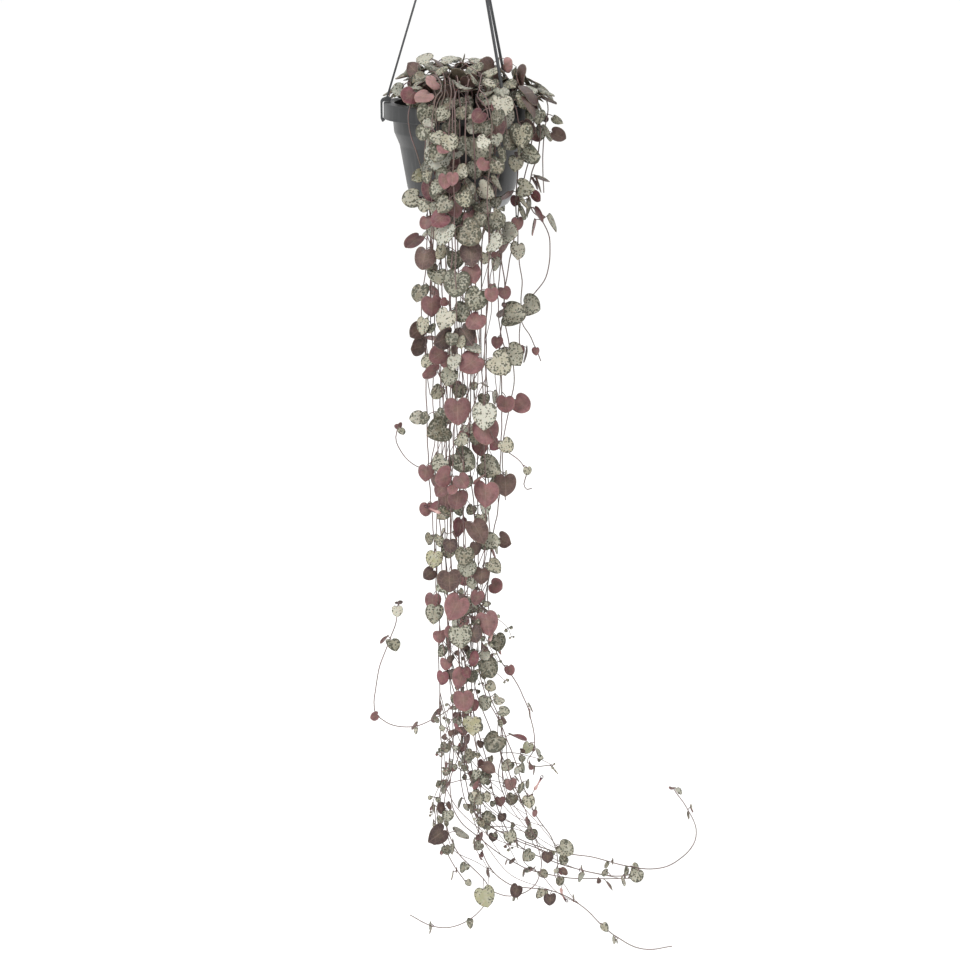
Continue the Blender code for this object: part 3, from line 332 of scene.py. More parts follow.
# %% Long stems, as read off the photograph
# Soil x, soil y, height over the rim, distance out from the axis at the rim, depth lower down, then (x, z)
LONG_STRANDS = [
    (-22, -42, 16, 75, -70, [(-26, -18), (-27, -79), (-30, -168), (-31, -259), (-26, -354), (-22, -450),
        (-20, -550), (-21, -642), (-23, -689), (-12, -717), (4, -741)]),
    (-21, -34, 19, 84, -84, [(-20, -16), (-20, -77), (-24, -165), (-18, -284), (-22, -388), (-17, -495),
        (-9, -564), (-13, -625), (-25, -661), (-27, -685)]),
    (-13, -44, 15, 76, -76, [(-14, -13), (-13, -78), (-15, -167), (-13, -295), (-14, -448), (-4, -548),
        (1, -593), (-1, -629), (7, -658), (26, -677), (55, -693), (84, -705)]),
    (-7, -30, 22, 92, -92, [(-7, -11), (-8, -93), (-10, -190), (-8, -328), (-6, -443), (4, -561), (4, -632),
        (17, -661), (42, -677), (79, -692), (131, -703), (162, -712), (190, -712), (208, -701), (219, -687),
        (221, -671), (215, -655), (200, -631)]),
    (-1, -46, 14, 79, -80, [(-1, -8), (-2, -95), (-5, -211), (-1, -351), (-3, -466), (7, -586), (13, -648),
        (20, -695), (26, -717), (41, -733), (70, -739), (96, -746), (115, -762), (136, -781), (154, -796),
        (172, -805), (203, -802)]),
    (5, -26, 24, 96, -96, [(5, -6), (4, -92), (1, -208), (2, -346), (6, -480), (9, -559), (17, -620),
        (18, -661)]),
    (10, -40, 18, 84, -84, [(10, -7), (10, -112), (8, -256), (11, -407), (11, -544), (23, -615), (36, -661),
        (47, -685), (74, -704), (108, -716), (137, -724), (164, -723)]),
    (15, -48, 13, 75, -74, [(16, -8), (15, -113), (12, -258), (15, -410), (17, -548), (33, -599), (50, -640),
        (62, -666), (70, -703), (73, -727), (65, -744), (51, -751), (26, -745)]),
    (20, -34, 20, 90, -90, [(22, -7), (20, -111), (18, -255), (21, -405), (21, -532), (34, -560), (45, -594),
        (57, -625), (67, -651), (81, -682), (93, -703), (93, -728)]),
    (26, -44, 15, 75, -66, [(27, -5), (25, -115), (23, -260), (26, -413), (24, -541), (36, -574), (39, -597),
        (34, -628), (44, -657)]),
    (-15, -31, 24, 80, -62, [(-18, -18), (-18, -89), (-19, -188), (-21, -299), (-15, -414), (-12, -513),
        (-2, -594), (-12, -651), (-6, -672), (11, -692), (33, -710), (57, -726), (94, -737), (133, -738),
        (164, -739)]),
    (-4, -18, 26, 101, -100, [(-5, -14), (-6, -127), (-5, -252), (-9, -402), (-2, -538), (-13, -618),
        (-15, -669), (0, -702), (15, -726), (23, -741), (15, -754), (2, -764), (-14, -772), (-25, -771),
        (-50, -758)]),
    (31, -36, 17, 79, -64, [(32, -5), (32, -88), (35, -124), (36, -205), (38, -289), (35, -355), (30, -433),
        (29, -492), (36, -512), (49, -530), (58, -560), (67, -588), (68, -603), (63, -616), (89, -619)]),
    (-11, -23, 25, 88, -86, [(-9, -24), (-11, -165), (-10, -302), (-13, -406), (-9, -504), (-3, -543),
        (-15, -551), (-35, -566), (-53, -571), (-71, -566), (-82, -557), (-81, -538), (-77, -509),
        (-69, -486), (-61, -462), (-59, -448)]),
    (45, -18, 16, 75, -30, [(67, -18), (69, -40), (59, -75), (63, -92), (72, -103), (78, -119), (78, -135),
        (76, -155), (65, -172), (56, -188), (65, -211), (73, -232)]),
    (42, -27, 18, 75, -40, [(62, -17), (59, -47), (51, -83), (51, -119), (54, -151), (53, -185), (51, -220)]),
    (36, -26, 20, 82, -62, [(37, -18), (34, -53), (29, -84), (34, -105), (35, -135), (35, -169), (37, -206),
        (42, -226)]),
    (40, -37, 12, 80, -56, [(48, -2), (50, -45), (48, -81), (46, -116), (42, -148), (39, -171), (42, -212),
        (46, -237), (44, -265), (39, -286), (37, -329), (41, -358)]),
    (14, -14, 27, 105, -104, [(25, -14), (23, -161), (22, -251), (25, -280), (36, -294), (53, -308),
        (58, -317), (59, -334), (63, -333)]),
    (-31, -40, 13, 76, -66, [(-29, -14), (-29, -106), (-33, -169), (-34, -205), (-30, -233), (-27, -256)]),
    (-26, -21, 27, 92, -78, [(-23, -17), (-25, -166), (-27, -276), (-34, -321), (-47, -312), (-56, -303),
        (-58, -293), (-56, -283)]),
    (-36, -31, 14, 75, -66, [(-44, -6), (-42, -12), (-40, -27), (-37, -48), (-34, -62), (-27, -97),
        (-25, -133)]),
]
print(len(LONG_STRANDS), "long stems")

# %% Stems behind the pot and short shoots over the soil
# Behind: soil x, soil y, height over the rim, direction in degrees, length
BACK_STRANDS = [
    (-14, 40, 14, 101, 430), (2, 44, 16, 88, 560), (16, 38, 18, 79, 350), (-26, 30, 15, 112, 250),
    (-40, 8, 15, 152, 70), (46, 6, 14, 12, 90), (30, 28, 14, 68, 190),
]
# Over the soil: soil x, soil y, then the tip as x, y, z
CROWN_SHOOTS = [
    (-30, 2, -40, 4, 24), (-20, 8, -22, 12, 34), (-12, -4, -16, -2, 26), (-2, 12, 2, 12, 32),
    (8, 2, 20, 2, 22), (22, 8, 36, 8, 27), (34, 4, 48, -4, 18), (38, -10, 56, -24, 11),
    (-36, -14, -52, -28, 10), (4, -12, 2, -34, 12), (-8, 26, -10, 34, 26),
    (-28, 20, -40, 30, 18),
]
print(len(BACK_STRANDS), "stems behind,", len(CROWN_SHOOTS), "short shoots")

# %% A smooth curve through a few points
def smooth_course(points, step=4.0):
    """A smooth curve through the points, sampled about every step."""
    links = [b - a for a, b in zip(points, points[1:])]
    gaps = [link.length for link in links]
    rates = [link / gap for link, gap in zip(links, gaps)]
    slopes = [rates[0]]
    for before, after, back, ahead in zip(gaps, gaps[1:], rates, rates[1:]):
        slopes.append((back * after + ahead * before) / (before + after))
    slopes.append(rates[-1])
    course = [points[0].copy()]
    for i, gap in enumerate(gaps):
        count = max(1, round(gap / step))
        for k in range(1, count + 1):
            t = k / count
            a, b = 2 * t**3 - 3 * t**2 + 1, t**3 - 2 * t**2 + t
            c, d = 3 * t**2 - 2 * t**3, t**3 - t**2
            course.append(points[i] * a + slopes[i] * (b * gap) + points[i + 1] * c + slopes[i + 1] * (d * gap))
    return course


bend = smooth_course([Vector((0, 0, 0)), Vector((10, 0, 8)), Vector((30, 0, 0))], 2.0)
print("three points give a curve of", len(bend))

# %% From the entries to the courses
STEM_FOOT, SOIL_EXIT = -21.0, -8.0
MOST_FOOT_RADIUS, BACK_REACH = 49.0, 76.0


def arch_over_rim(foot, height, reach, target):
    """The first points of a stem: out of the soil, up, and over the rim towards the target."""
    out = Vector((target.x, target.y, 0)).normalized()
    rise = foot.lerp(Vector((target.x, target.y, foot.z)), 0.25)
    return [Vector((foot.x, foot.y, STEM_FOOT)), Vector((foot.x, foot.y, SOIL_EXIT)),
        Vector((rise.x, rise.y, height)),
        out * 62.0 + Vector((0, 0, max(9.0, height * 0.7))), out * (reach - 1.5) + Vector((0, 0, 4.5))]


def long_course(entry):
    sx, sy, height, reach, depth, route = entry
    points = []
    for x, z in route:
        limit = min(abs(x), reach * 0.93)
        at_rim = -math.sqrt(reach**2 - limit**2)
        t = min(1.0, max(0.0, (-z - 95.0) / 140.0))
        t = t * t * (3 - 2 * t)
        points.append(Vector((x, at_rim * (1 - t) + depth * t, z)))
    first = Vector((points[0].x, points[0].y, 0))
    points = [p for p in points if p.z < -11.0]
    foot = Vector((sx, sy, 0)) * min(1.0, MOST_FOOT_RADIUS / math.hypot(sx, sy))
    return smooth_course(arch_over_rim(foot, height, first.length, first) + points)


def back_course(entry, rng):
    sx, sy, height, angle, length = entry
    out = polar(math.radians(angle))
    points = arch_over_rim(Vector((sx, sy, STEM_FOOT)), height, BACK_REACH, out * BACK_REACH)
    z = -14.0
    while z > -length:
        sway = Vector((rng.uniform(-3, 3), rng.uniform(0, 3), 0))
        points.append(out * (BACK_REACH + 1) + sway + Vector((0, 0, z)))
        z -= rng.uniform(45, 75)
    return smooth_course(points)


def shoot_course(entry):
    sx, sy, tx, ty, tz = entry
    middle = Vector((sx * 0.75 + tx * 0.25, sy * 0.75 + ty * 0.25, tz * 0.62))
    return smooth_course([Vector((sx, sy, STEM_FOOT)), Vector((sx, sy, SOIL_EXIT)), middle,
        Vector((tx, ty, tz))], 3.0)


print("the first stem has", len(long_course(LONG_STRANDS[0])), "points")

# %% [markdown]
# ## Stems that don't touch
# Two stems may not run through each other or through the pot. They are pushed apart like soft beads, a
# little in each round: every point looks for close neighbours in a search tree and moves away sideways. A
# few rounds are enough, and this is far simpler than simulating the stems. Each course is then cut down to
# the fewest straight pieces that stay close to it, which is how the solids were made.

# %% Push the stems apart
STEM_GAP, STRAP_GAP = 3.7, 5.2
WALL_INSIDE, WALL_MIDDLE, RIM_CLEAR = 57.0, 63.0, 73.0
OVER_RIM = 4.5
SMOOTHING = (0.15, 0.4, 0.8, 1.0, 0.8, 0.4, 0.15)


def strap_line(angle):
    """Points down the middle of a strap and its clip."""
    out, up = polar(math.radians(angle)), Vector((0, 0, 1))
    top, foot = out * STRAP_TOP.x + up * STRAP_TOP.y, out * STRAP_FOOT.x + up * STRAP_FOOT.y
    clip = out * 72.0 + up * -16.0
    return [top.lerp(foot, k / 60) for k in range(61)] + [foot.lerp(clip, k / 8) for k in range(9)]


def search_tree(points):
    tree = KDTree(len(points))
    for n, p in enumerate(points):
        tree.insert(p, n)
    tree.balance()
    return tree


def keep_out_of_pot(p):
    """Moves a stem point off the pot: outside it below the rim, inside its wall over the soil."""
    r = off_axis(p)
    if -100.0 < p.z < 2.8 and WALL_INSIDE < r < RIM_CLEAR:
        wanted = WALL_INSIDE if r < WALL_MIDDLE else RIM_CLEAR
        p.x *= wanted / r
        p.y *= wanted / r
    if 58.0 < r < RIM_CLEAR and 2.0 < p.z < OVER_RIM:
        p.z = OVER_RIM


def spread(courses, rounds=26):
    """Moves stems apart wherever they come closer than the gap, and off the straps and the pot."""
    fixed = [p for angle in STRAP_ANGLES.values() for p in strap_line(angle)]
    for _ in range(rounds):
        every = [(p, s, i) for s, course in enumerate(courses) for i, p in enumerate(course)]
        tree = search_tree([p for p, _, _ in every] + fixed)
        pushes = [[Vector() for _ in course] for course in courses]
        for p, s, i in every:
            for q, n, distance in tree.find_range(p, STEM_GAP + 1.6):
                rigid = n >= len(every)
                wanted = STRAP_GAP if rigid else STEM_GAP
                if distance >= wanted or (not rigid and every[n][1] == s):
                    continue
                apart = Vector((p.x - q.x, p.y - q.y, 0.0))
                if apart.length < 0.05:
                    apart = polar(s * 2.4)
                push = apart.normalized() * ((wanted - distance) * (0.5 if rigid else 0.3))
                if push.length > pushes[s][i].length:
                    pushes[s][i] = push
        for s, course in enumerate(courses):
            for i, p in enumerate(course):
                near = [pushes[s][min(max(i + k, 0), len(course) - 1)] for k in range(-3, 4)]
                if p.z > -7.0 or off_axis(p) > 62:
                    p += sum((v * (w / 2.0) for w, v in zip(SMOOTHING, near)), Vector())
                keep_out_of_pot(p)


print("stems stay", STEM_GAP, "mm apart")

# %% Tubes and search trees
def ring(p, across, other, r, sides):
    turns = [2 * math.pi * k / sides for k in range(sides)]
    return [p + across * (r * math.cos(a)) + other * (r * math.sin(a)) for a in turns]


def caps(rings, sides):
    """The two end faces of a tube."""
    return [tuple(range(sides))[::-1], tuple(range((rings - 1) * sides, rings * sides))]


def tube(path, radius, sides, end_radius=None):
    """A closed tube along a path, its section carried without twist, narrowing to the end radius."""
    end_radius = radius if end_radius is None else end_radius
    across = (path[1] - path[0]).orthogonal().normalized()
    points, last = [], len(path) - 1
    for i, p in enumerate(path):
        ahead = (path[min(i + 1, last)] - path[max(i - 1, 0)]).normalized()
        across = (across - ahead * across.dot(ahead)).normalized()
        points += ring(p, across, ahead.cross(across), radius + (end_radius - radius) * i / last, sides)
    return points, caps(len(path), sides) + ring_faces(len(path), sides)


def tree_of(points, faces):
    triangles = [(f[0], f[k], f[k + 1]) for f in faces for k in range(1, len(f) - 1)]
    return BVHTree.FromPolygons([tuple(p) for p in points], triangles)


print("a straight tube of six sides has", len(tube([Vector(), Vector((0, 0, 9))], 1.0, 6)[1]), "faces")

# %% Straight pieces along each course
STEM_RADIUS = 0.95


def simplified(course, tolerance):
    """The course with the points left out that lie within the tolerance of a straight line."""
    keep = {0, len(course) - 1}
    spans = [(0, len(course) - 1)]
    while spans:
        a, b = spans.pop()
        along = course[b] - course[a]
        length = max(along.length, 1e-6)
        worst, at = 0.0, None
        for i in range(a + 1, b):
            off = (course[i] - course[a]).cross(along).length / length
            if off > worst:
                worst, at = off, i
        if worst > tolerance:
            keep.add(at)
            spans += [(a, at), (at, b)]
    return [course[i] for i in sorted(keep)]


def straight_foot(course, tolerance):
    """The simplified course, with the length that stands in the soil kept upright."""
    out = next(i for i, p in enumerate(course) if p.z > -8.5)
    return [course[0]] + simplified(course[out:], tolerance)


def clear_courses(courses):
    """All the courses simplified, more finely for stems that would otherwise touch."""
    tolerances = [1.5] * len(courses)
    for _ in range(7):
        strands = [straight_foot(course, tolerance) for course, tolerance in zip(courses, tolerances)]
        trees = [tree_of(*tube(course, STEM_RADIUS + 0.2, 3)) for course in strands]
        pairs = combinations(range(len(trees)), 2)
        close = {s for pair in pairs if trees[pair[0]].overlap(trees[pair[1]]) for s in pair}
        if not close:
            break
        for s in close:
            tolerances[s] *= 0.6
    print("stems still close", len(close))
    return strands


def smooth_line(course):
    """The straight pieces of a simplified course, cut into short steps for rooting leaves."""
    points = [course[0]]
    for a, b in zip(course, course[1:]):
        count = max(1, round((b - a).length / 4.0))
        points += [a.lerp(b, k / count) for k in range(1, count + 1)]
    return points


print("the bend above needs", len(simplified(bend, 0.3)), "points")

# %% [markdown]
# ## A leaf and its place in space
# A leaf is told by a few numbers: where its stalk leaves the stem, where the blade starts, which way the
# blade points and faces, its width, how much it folds along the midrib and how much it curls. Everything
# about the blade is then worked out in its own directions, so one rule makes leaves of any size and pose.

# %% The blade of a leaf
def unit(v):
    return v.normalized() if v.length > 1e-9 else Vector((0, 0, 1))


def leaf_frame(leaf):
    axis = unit(leaf["axis"])
    normal = unit(leaf["normal"] - axis * leaf["normal"].dot(axis))
    return axis, normal, normal.cross(axis)


def blade_point(leaf, frame, u, v):
    """A point of the blade's middle surface: u from the notch to the tip, v from side to side."""
    axis, normal, side = frame
    width, length = leaf["width"], leaf["width"] * 0.98
    lift = width * (leaf["fold"] * 0.16 * v * v - leaf["curl"] * 0.12 * u * u)
    return leaf["notch"] + axis * (u * length) + side * (v * width / 2) + normal * lift


sample = {"notch": Vector(), "axis": Vector((0, 0, -1)), "normal": Vector((0, -1, 0)), "width": 18.0}
sample.update(root=Vector((0, 0, 6)), owner=0, tone="g", fold=0.3, curl=0.5)
print("tip of a leaf 18 mm wide", [round(c, 1) for c in blade_point(sample, leaf_frame(sample), 1.0, 0.0)])

# %% The coarse leaf that the solids use
STALK_RADIUS = 0.40
BIG_LEAF = 15.5
HEART = ((-0.13, 0.42), (0.12, 0.98), (0.48, 0.90), (0.80, 0.40))
SMALL_HEART = ((-0.12, 0.45), (0.26, 1.0), (0.68, 0.58))


def coarse_leaf(leaf, grow=0.0):
    """Points and faces of the stalk and blade as one closed mesh of few triangles."""
    leaf = dict(leaf)
    leaf["width"] += grow * 2
    frame = leaf_frame(leaf)
    axis, normal, side = frame
    stalk = unit(leaf["notch"] - leaf["root"])
    bisector = unit(stalk + axis)
    over = unit(normal - bisector * normal.dot(bisector))
    across = over.cross(bisector)
    root, notch = leaf["root"], leaf["notch"]
    r = STALK_RADIUS + grow
    ring = [notch + over * r, notch + across * r - over * (r * 0.6), notch - across * r - over * (r * 0.6)]
    points = [p - stalk * (p - root).dot(stalk) for p in ring] + ring
    half = HEART if leaf["width"] >= BIG_LEAF else SMALL_HEART
    left = [blade_point(leaf, frame, u, v) for u, v in half]
    right = [blade_point(leaf, frame, u, -v) for u, v in half]
    tip = blade_point(leaf, frame, 1.0, 0.0)
    points += left + [tip] + right[::-1]
    middle = blade_point(leaf, frame, 0.36, 0.0)
    thick = (0.7 + leaf["width"] * 0.03) + grow
    points += [middle + normal * thick, middle - normal * (thick * 0.8)]
    count = len(half) * 2 + 1
    loop = [4] + list(range(6, 6 + count)) + [5]
    top, bottom = 6 + count, 7 + count
    faces = [(0, 1, 4, 3), (1, 2, 5, 4), (2, 0, 3, 5), (0, 2, 1)]
    ring = [3] + loop
    faces += [(top, ring[k], ring[(k + 1) % len(ring)]) for k in range(len(ring))]
    faces += [(bottom, loop[k + 1], loop[k]) for k in range(len(loop) - 1)] + [(bottom, 4, 5)]
    return points, faces


print("a coarse leaf has", len(coarse_leaf(sample)[1]), "faces")

# %% [markdown]
# ## Space already taken
# Real leaves lie beside and over each other, never through each other. Each stem and leaf is kept as a
# small search tree of its triangles, and a new leaf is placed only where it overlaps none of them. A grid
# of cells tells what is near a leaf, and balls round the pieces are compared first, because that is quick
# and settles most pairs.

# %% Space already taken
class Crowd:
    """The space already taken, as small search trees in a grid of cells, so that a test looks only nearby."""

    def __init__(self, cell=26.0):
        self.cell, self.cells, self.count = cell, {}, 0

    def ball(self, points):
        """The middle and the radius of a ball round the points, and the cells that it reaches."""
        middle = sum(points, Vector()) / len(points)
        reach = max((p - middle).length for p in points)
        x, y, z = [range(math.floor((c - reach) / self.cell), math.floor((c + reach) / self.cell) + 1)
            for c in middle]
        return middle, reach, [(i, j, k) for i in x for j in y for k in z]

    def add(self, points, faces, owner=None):
        middle, reach, keys = self.ball(points)
        item = (self.count, middle, reach, tree_of(points, faces), owner)
        self.count += 1
        for key in keys:
            self.cells.setdefault(key, []).append(item)

    def blocks(self, points, faces, owner=None):
        """True if the shape runs into anything that has another owner than the one given."""
        middle, reach, keys = self.ball(points)
        tree, seen = None, set()
        for key in keys:
            for number, other, size, taken, whose in self.cells.get(key, ()):
                if number in seen or (owner is not None and whose == owner):
                    continue
                seen.add(number)
                if (other - middle).length > reach + size:
                    continue
                tree = tree or tree_of(points, faces)
                if tree.overlap(taken):
                    return True
        return False


def is_free(leaf, crowd):
    """True if a leaf has room: its blade touches nothing, and its stalk nothing but its own stem."""
    points, faces = coarse_leaf(leaf, 0.45)
    if crowd.blocks(points[3:], [tuple(i - 3 for i in face) for face in faces[4:]]):
        return False
    start = leaf["root"].lerp(leaf["notch"], 0.12)
    return not crowd.blocks(*tube([start, leaf["notch"]], STALK_RADIUS + 0.35, 3), leaf["owner"])


print("a leaf in an empty room is free:", is_free(sample, Crowd()))

# %% [markdown]
# ## Leaves where the photograph shows them
# Each entry is the middle of a leaf, its width and a letter for its tone: g grey green, m marbled, c cream,
# o olive, y young and yellowish, and p, r, k, b, d for undersides from dusty purple to dark. The stalk is
# rooted on the stem that suits best, and stalk and blade reach for the place like two links of an arm.

# %% Leaves of the crown and of the hanging stems
# Crown: x, y, z, width and tone
CROWN_LEAVES = [
    (-43, 5, 33, 14, "c"), (-25, 10, 41, 9, "k"), (-18, 0, 33, 24, "o"), (2, 10, 36, 12, "g"),
    (23, 0, 27, 23, "b"), (42, 5, 32, 14, "k"), (53, -5, 22, 24, "b"), (59, -25, 11, 23, "d"),
    (60, -40, 0, 22, "b"), (-56, -30, 13, 13, "c"), (-45, -45, 10, 18, "r"), (-25, -30, 22, 15, "k"),
    (-33, -50, 10, 17, "k"), (-29, -70, -4, 19, "m"), (-15, -35, 14, 18, "m"), (-1, -72, -2, 24, "m"),
    (6, -35, 14, 22, "g"), (29, -30, 14, 18, "g"), (11, -80, -13, 14, "c"), (37, -62, 4, 20, "c"),
    (37, -72, -8, 20, "c"), (22, -82, -19, 21, "p"), (-15, -80, -22, 10, "k"), (-19, -84, -39, 24, "c"),
    (-5, -84, -31, 20, "c"), (15, -84, -32, 22, "g"), (-6, -82, -46, 14, "p"), (19, -84, -47, 22, "g"),
    (-38, -78, -57, 12, "y"), (-44, -78, -77, 17, "g"), (-25, -82, -69, 19, "r"), (-11, -84, -73, 18, "r"),
    (-12, -84, -59, 18, "g"), (22, -84, -67, 18, "c"), (8, -86, -78, 18, "c"), (53, -60, -22, 21, "m"),
    (61, -58, -39, 21, "m"), (48, -62, -47, 14, "g"), (62, -55, -45, 10, "d"), (57, -58, -68, 17, "g"),
    (67, -50, -79, 11, "r"), (48, -55, -82, 10, "r"), (5, -60, 3, 14, "g"), (-22, -72, -10, 18, "g"),
    (43, -62, -27, 18, "o"),
]
# Hanging: x, z, width and tone
HANGING_LEAVES = [
    (-14, -103, 22, "c"), (8, -102, 24, "o"), (30, -109, 19, "c"), (42, -106, 22, "c"), (50, -100, 12, "p"),
    (-32, -127, 20, "b"), (-17, -120, 15, "g"), (-5, -128, 18, "m"), (9, -122, 20, "d"), (10, -139, 17, "p"),
    (-26, -143, 18, "o"), (-4, -147, 24, "m"), (-26, -170, 19, "p"), (-15, -166, 8, "p"),
    (-14, -179, 19, "c"), (1, -174, 18, "m"), (13, -160, 21, "m"), (12, -179, 18, "p"), (-40, -195, 16, "b"),
    (-39, -209, 18, "b"), (-16, -195, 21, "d"), (5, -193, 20, "d"), (-21, -212, 18, "p"), (-6, -216, 15, "c"),
    (8, -217, 22, "p"), (-28, -229, 18, "p"), (-11, -230, 16, "g"), (27, -156, 13, "p"), (39, -161, 12, "p"),
    (48, -181, 24, "g"), (63, -177, 22, "g"), (32, -207, 11, "p"), (35, -218, 22, "g"), (47, -218, 21, "g"),
    (51, -224, 12, "p"), (68, -225, 13, "p"), (76, -224, 13, "p"), (-22, -250, 14, "g"), (-3, -261, 24, "p"),
    (20, -264, 24, "c"), (40, -264, 17, "p"), (55, -266, 18, "p"), (-21, -280, 24, "o"), (-41, -276, 13, "c"),
    (22, -282, 24, "p"), (30, -302, 12, "r"), (3, -310, 24, "m"), (17, -302, 15, "p"), (26, -320, 22, "g"),
    (-32, -324, 15, "p"), (-17, -321, 20, "p"), (1, -326, 15, "p"), (15, -326, 14, "p"), (-4, -344, 19, "p"),
    (22, -341, 24, "p"), (40, -340, 21, "b"), (-14, -351, 19, "p"), (15, -373, 24, "b"), (29, -385, 16, "g"),
    (40, -392, 16, "b"), (53, -392, 16, "p"), (61, -319, 14, "g"), (-10, -387, 14, "d"), (-25, -404, 16, "y"),
    (-12, -399, 14, "g"), (3, -397, 18, "o"), (5, -410, 18, "g"), (-30, -419, 13, "d"), (-11, -420, 22, "b"),
    (4, -425, 13, "p"), (18, -418, 16, "b"), (30, -410, 15, "g"), (-6, -446, 24, "p"), (-27, -450, 16, "p"),
    (24, -463, 22, "p"), (45, -456, 11, "p"), (-1, -474, 22, "g"), (12, -472, 16, "d"), (-20, -480, 13, "p"),
    (-11, -470, 11, "p"), (33, -492, 17, "o"), (12, -496, 15, "r"), (25, -507, 20, "o"), (-2, -515, 20, "p"),
    (2, -536, 20, "p"), (27, -527, 11, "g"), (45, -521, 10, "p"), (36, -540, 14, "c"), (-2, -564, 14, "r"),
    (10, -564, 22, "y"), (6, -593, 13, "o"), (28, -583, 24, "o"), (13, -613, 11, "g"), (27, -608, 16, "b"),
    (41, -608, 15, "g"), (61, -600, 14, "y"), (12, -623, 11, "p"), (46, -634, 15, "k"), (15, -637, 18, "g"),
    (28, -654, 21, "o"), (46, -649, 14, "o"), (63, -644, 15, "g"), (-21, -644, 14, "d"), (-11, -642, 10, "d"),
    (-13, -654, 14, "g"), (-26, -672, 24, "d"), (38, -664, 11, "d"), (23, -661, 13, "g"), (47, -679, 15, "g"),
    (14, -693, 12, "g"), (29, -688, 11, "d"), (66, -686, 15, "o"), (61, -702, 15, "g"), (81, -700, 14, "d"),
    (100, -692, 20, "g"), (100, -714, 15, "b"), (93, -728, 16, "o"), (8, -738, 12, "g"), (23, -737, 24, "y"),
    (50, -740, 16, "d"), (133, -719, 14, "g"), (165, -720, 16, "g"), (165, -734, 10, "g"),
    (138, -780, 11, "g"), (126, -790, 11, "g"), (84, -751, 15, "d"), (-59, -457, 18, "c"),
    (-83, -558, 11, "p"), (-25, -457, 18, "g"), (7, -450, 15, "g"), (21, -543, 14, "g"), (-15, -507, 12, "p"),
    (41, -553, 13, "g"), (32, -436, 15, "p"), (-32, -363, 14, "p"), (1, -287, 14, "g"), (41, -292, 14, "g"),
    (-17, -425, 14, "g"), (14, -440, 14, "p"),
]
print(len(CROWN_LEAVES) + len(HANGING_LEAVES), "leaves were read off the photograph")

# %% Reach for a place
UPPER_TONES = "gmcoy"


def two_links(vector, first, second):
    """Directions of two links that together span the vector, the first one bent upwards."""
    distance = vector.length
    ahead = unit(vector)
    up = unit(Vector((0, 0, 1)) - ahead * ahead.z)
    cosine = (first**2 + distance**2 - second**2) / (2 * first * distance)
    angle = math.acos(max(-1.0, min(1.0, cosine)))
    one = ahead * math.cos(angle) + up * math.sin(angle)
    return one, unit(vector - one * first)


def aimed_leaf(s, root, x, z, width, tone, rng, turn):
    """A leaf rooted on a stem, whose blade shows at the given place as seen from the front."""
    stalk, reach = 2.0 + width * rng.uniform(0.22, 0.34), 0.42 * width
    flat = math.hypot(x - root.x, z - root.z)
    span = max(min(stalk + reach, max(flat, 0.86 * (stalk + reach))), abs(stalk - reach) + 0.3)
    shift = min(1.0, span / max(flat, 1e-6))
    depth = math.sqrt(max(0.0, span**2 - flat**2))
    first, axis = two_links(Vector(((x - root.x) * shift, -depth, (z - root.z) * shift)), stalk, reach)
    seen = Vector((rng.gauss(0, 0.28) + turn * 0.35, -1.0, rng.gauss(0.05, 0.25)))
    normal = seen if tone in UPPER_TONES else -seen
    return dict(owner=s, root=root, notch=root + first * stalk, axis=axis, normal=normal, width=width,
        tone=tone, fold=rng.uniform(-0.5, 0.9), curl=rng.uniform(-0.3, 1.0))


def nearest_roots(dense, x, y, z, width):
    """Stem points that a leaf at this place could hang from, best first."""
    reach, found = 2.0 + width * 0.70, []
    for s, course in enumerate(dense):
        for p in course:
            flat = math.hypot(p.x - x, p.z - z)
            in_pot = p.z < SOIL_EXIT and off_axis(p) < 60
            if in_pot or flat > reach * 1.25 or not z - reach * 0.6 <= p.z <= z + reach:
                continue
            depth_cost = abs(p.y - y) * 0.035 if y is not None else (p.y + 110) * 0.006
            found.append((abs(flat / reach - 0.72) + depth_cost, s, p))
    return sorted(found, key=lambda item: item[:2])


def place_aimed(dense, x, y, z, width, tone, leaves, crowd, rng):
    """Tries a leaf on the stems round its place until one has room, and tells if that worked."""
    for attempt, (_, s, root) in enumerate(nearest_roots(dense, x, y, z, width)[:44:2]):
        for turn in (0.0, 1.0, -1.0):
            leaf = aimed_leaf(s, root, x, z, width * (1.0 if attempt < 12 else 0.84), tone, rng, turn)
            if is_free(leaf, crowd):
                leaves.append(leaf)
                crowd.add(*coarse_leaf(leaf))
                return True
    return False


first = two_links(Vector((10, 0, 0)), 5, 8)[0]
print("two links of 5 and 8 span 10 with the first at", [round(c, 2) for c in first])

# %% [markdown]
# ## Leaves on the bare lengths
# The photograph hides the inside of the crown and the back. There the plant follows its own habit: leaves
# stand in opposite pairs, close together over the soil and wider apart further down, and smaller towards
# the tips.

# %% Leaves on the bare lengths
def free_leaf(s, root, angle, width, rng):
    """A leaf rooted on a stem that stands out from it at an angle and hangs by its own weight."""
    out = polar(angle)
    stalk = 2.0 + width * rng.uniform(0.22, 0.34)
    first = unit(out + Vector((0, 0, rng.uniform(-0.1, 0.6))))
    over_soil = root.z > -6 and off_axis(root) < 71
    hang = rng.uniform(-0.2, 0.5) if over_soil else rng.uniform(0.3, 0.9)
    axis = unit(out * rng.uniform(0.2, 0.9) + Vector((rng.gauss(0, 0.2), rng.gauss(0, 0.2), -hang)))
    normal = out * 0.7 + Vector((rng.gauss(0, 0.2), rng.gauss(0, 0.2), 0.8))
    return dict(owner=s, root=root, notch=root + first * stalk, axis=axis, normal=normal, width=width,
        tone=rng.choice("ggmocgp"), fold=rng.uniform(-0.5, 0.9), curl=rng.uniform(-0.3, 1.0))


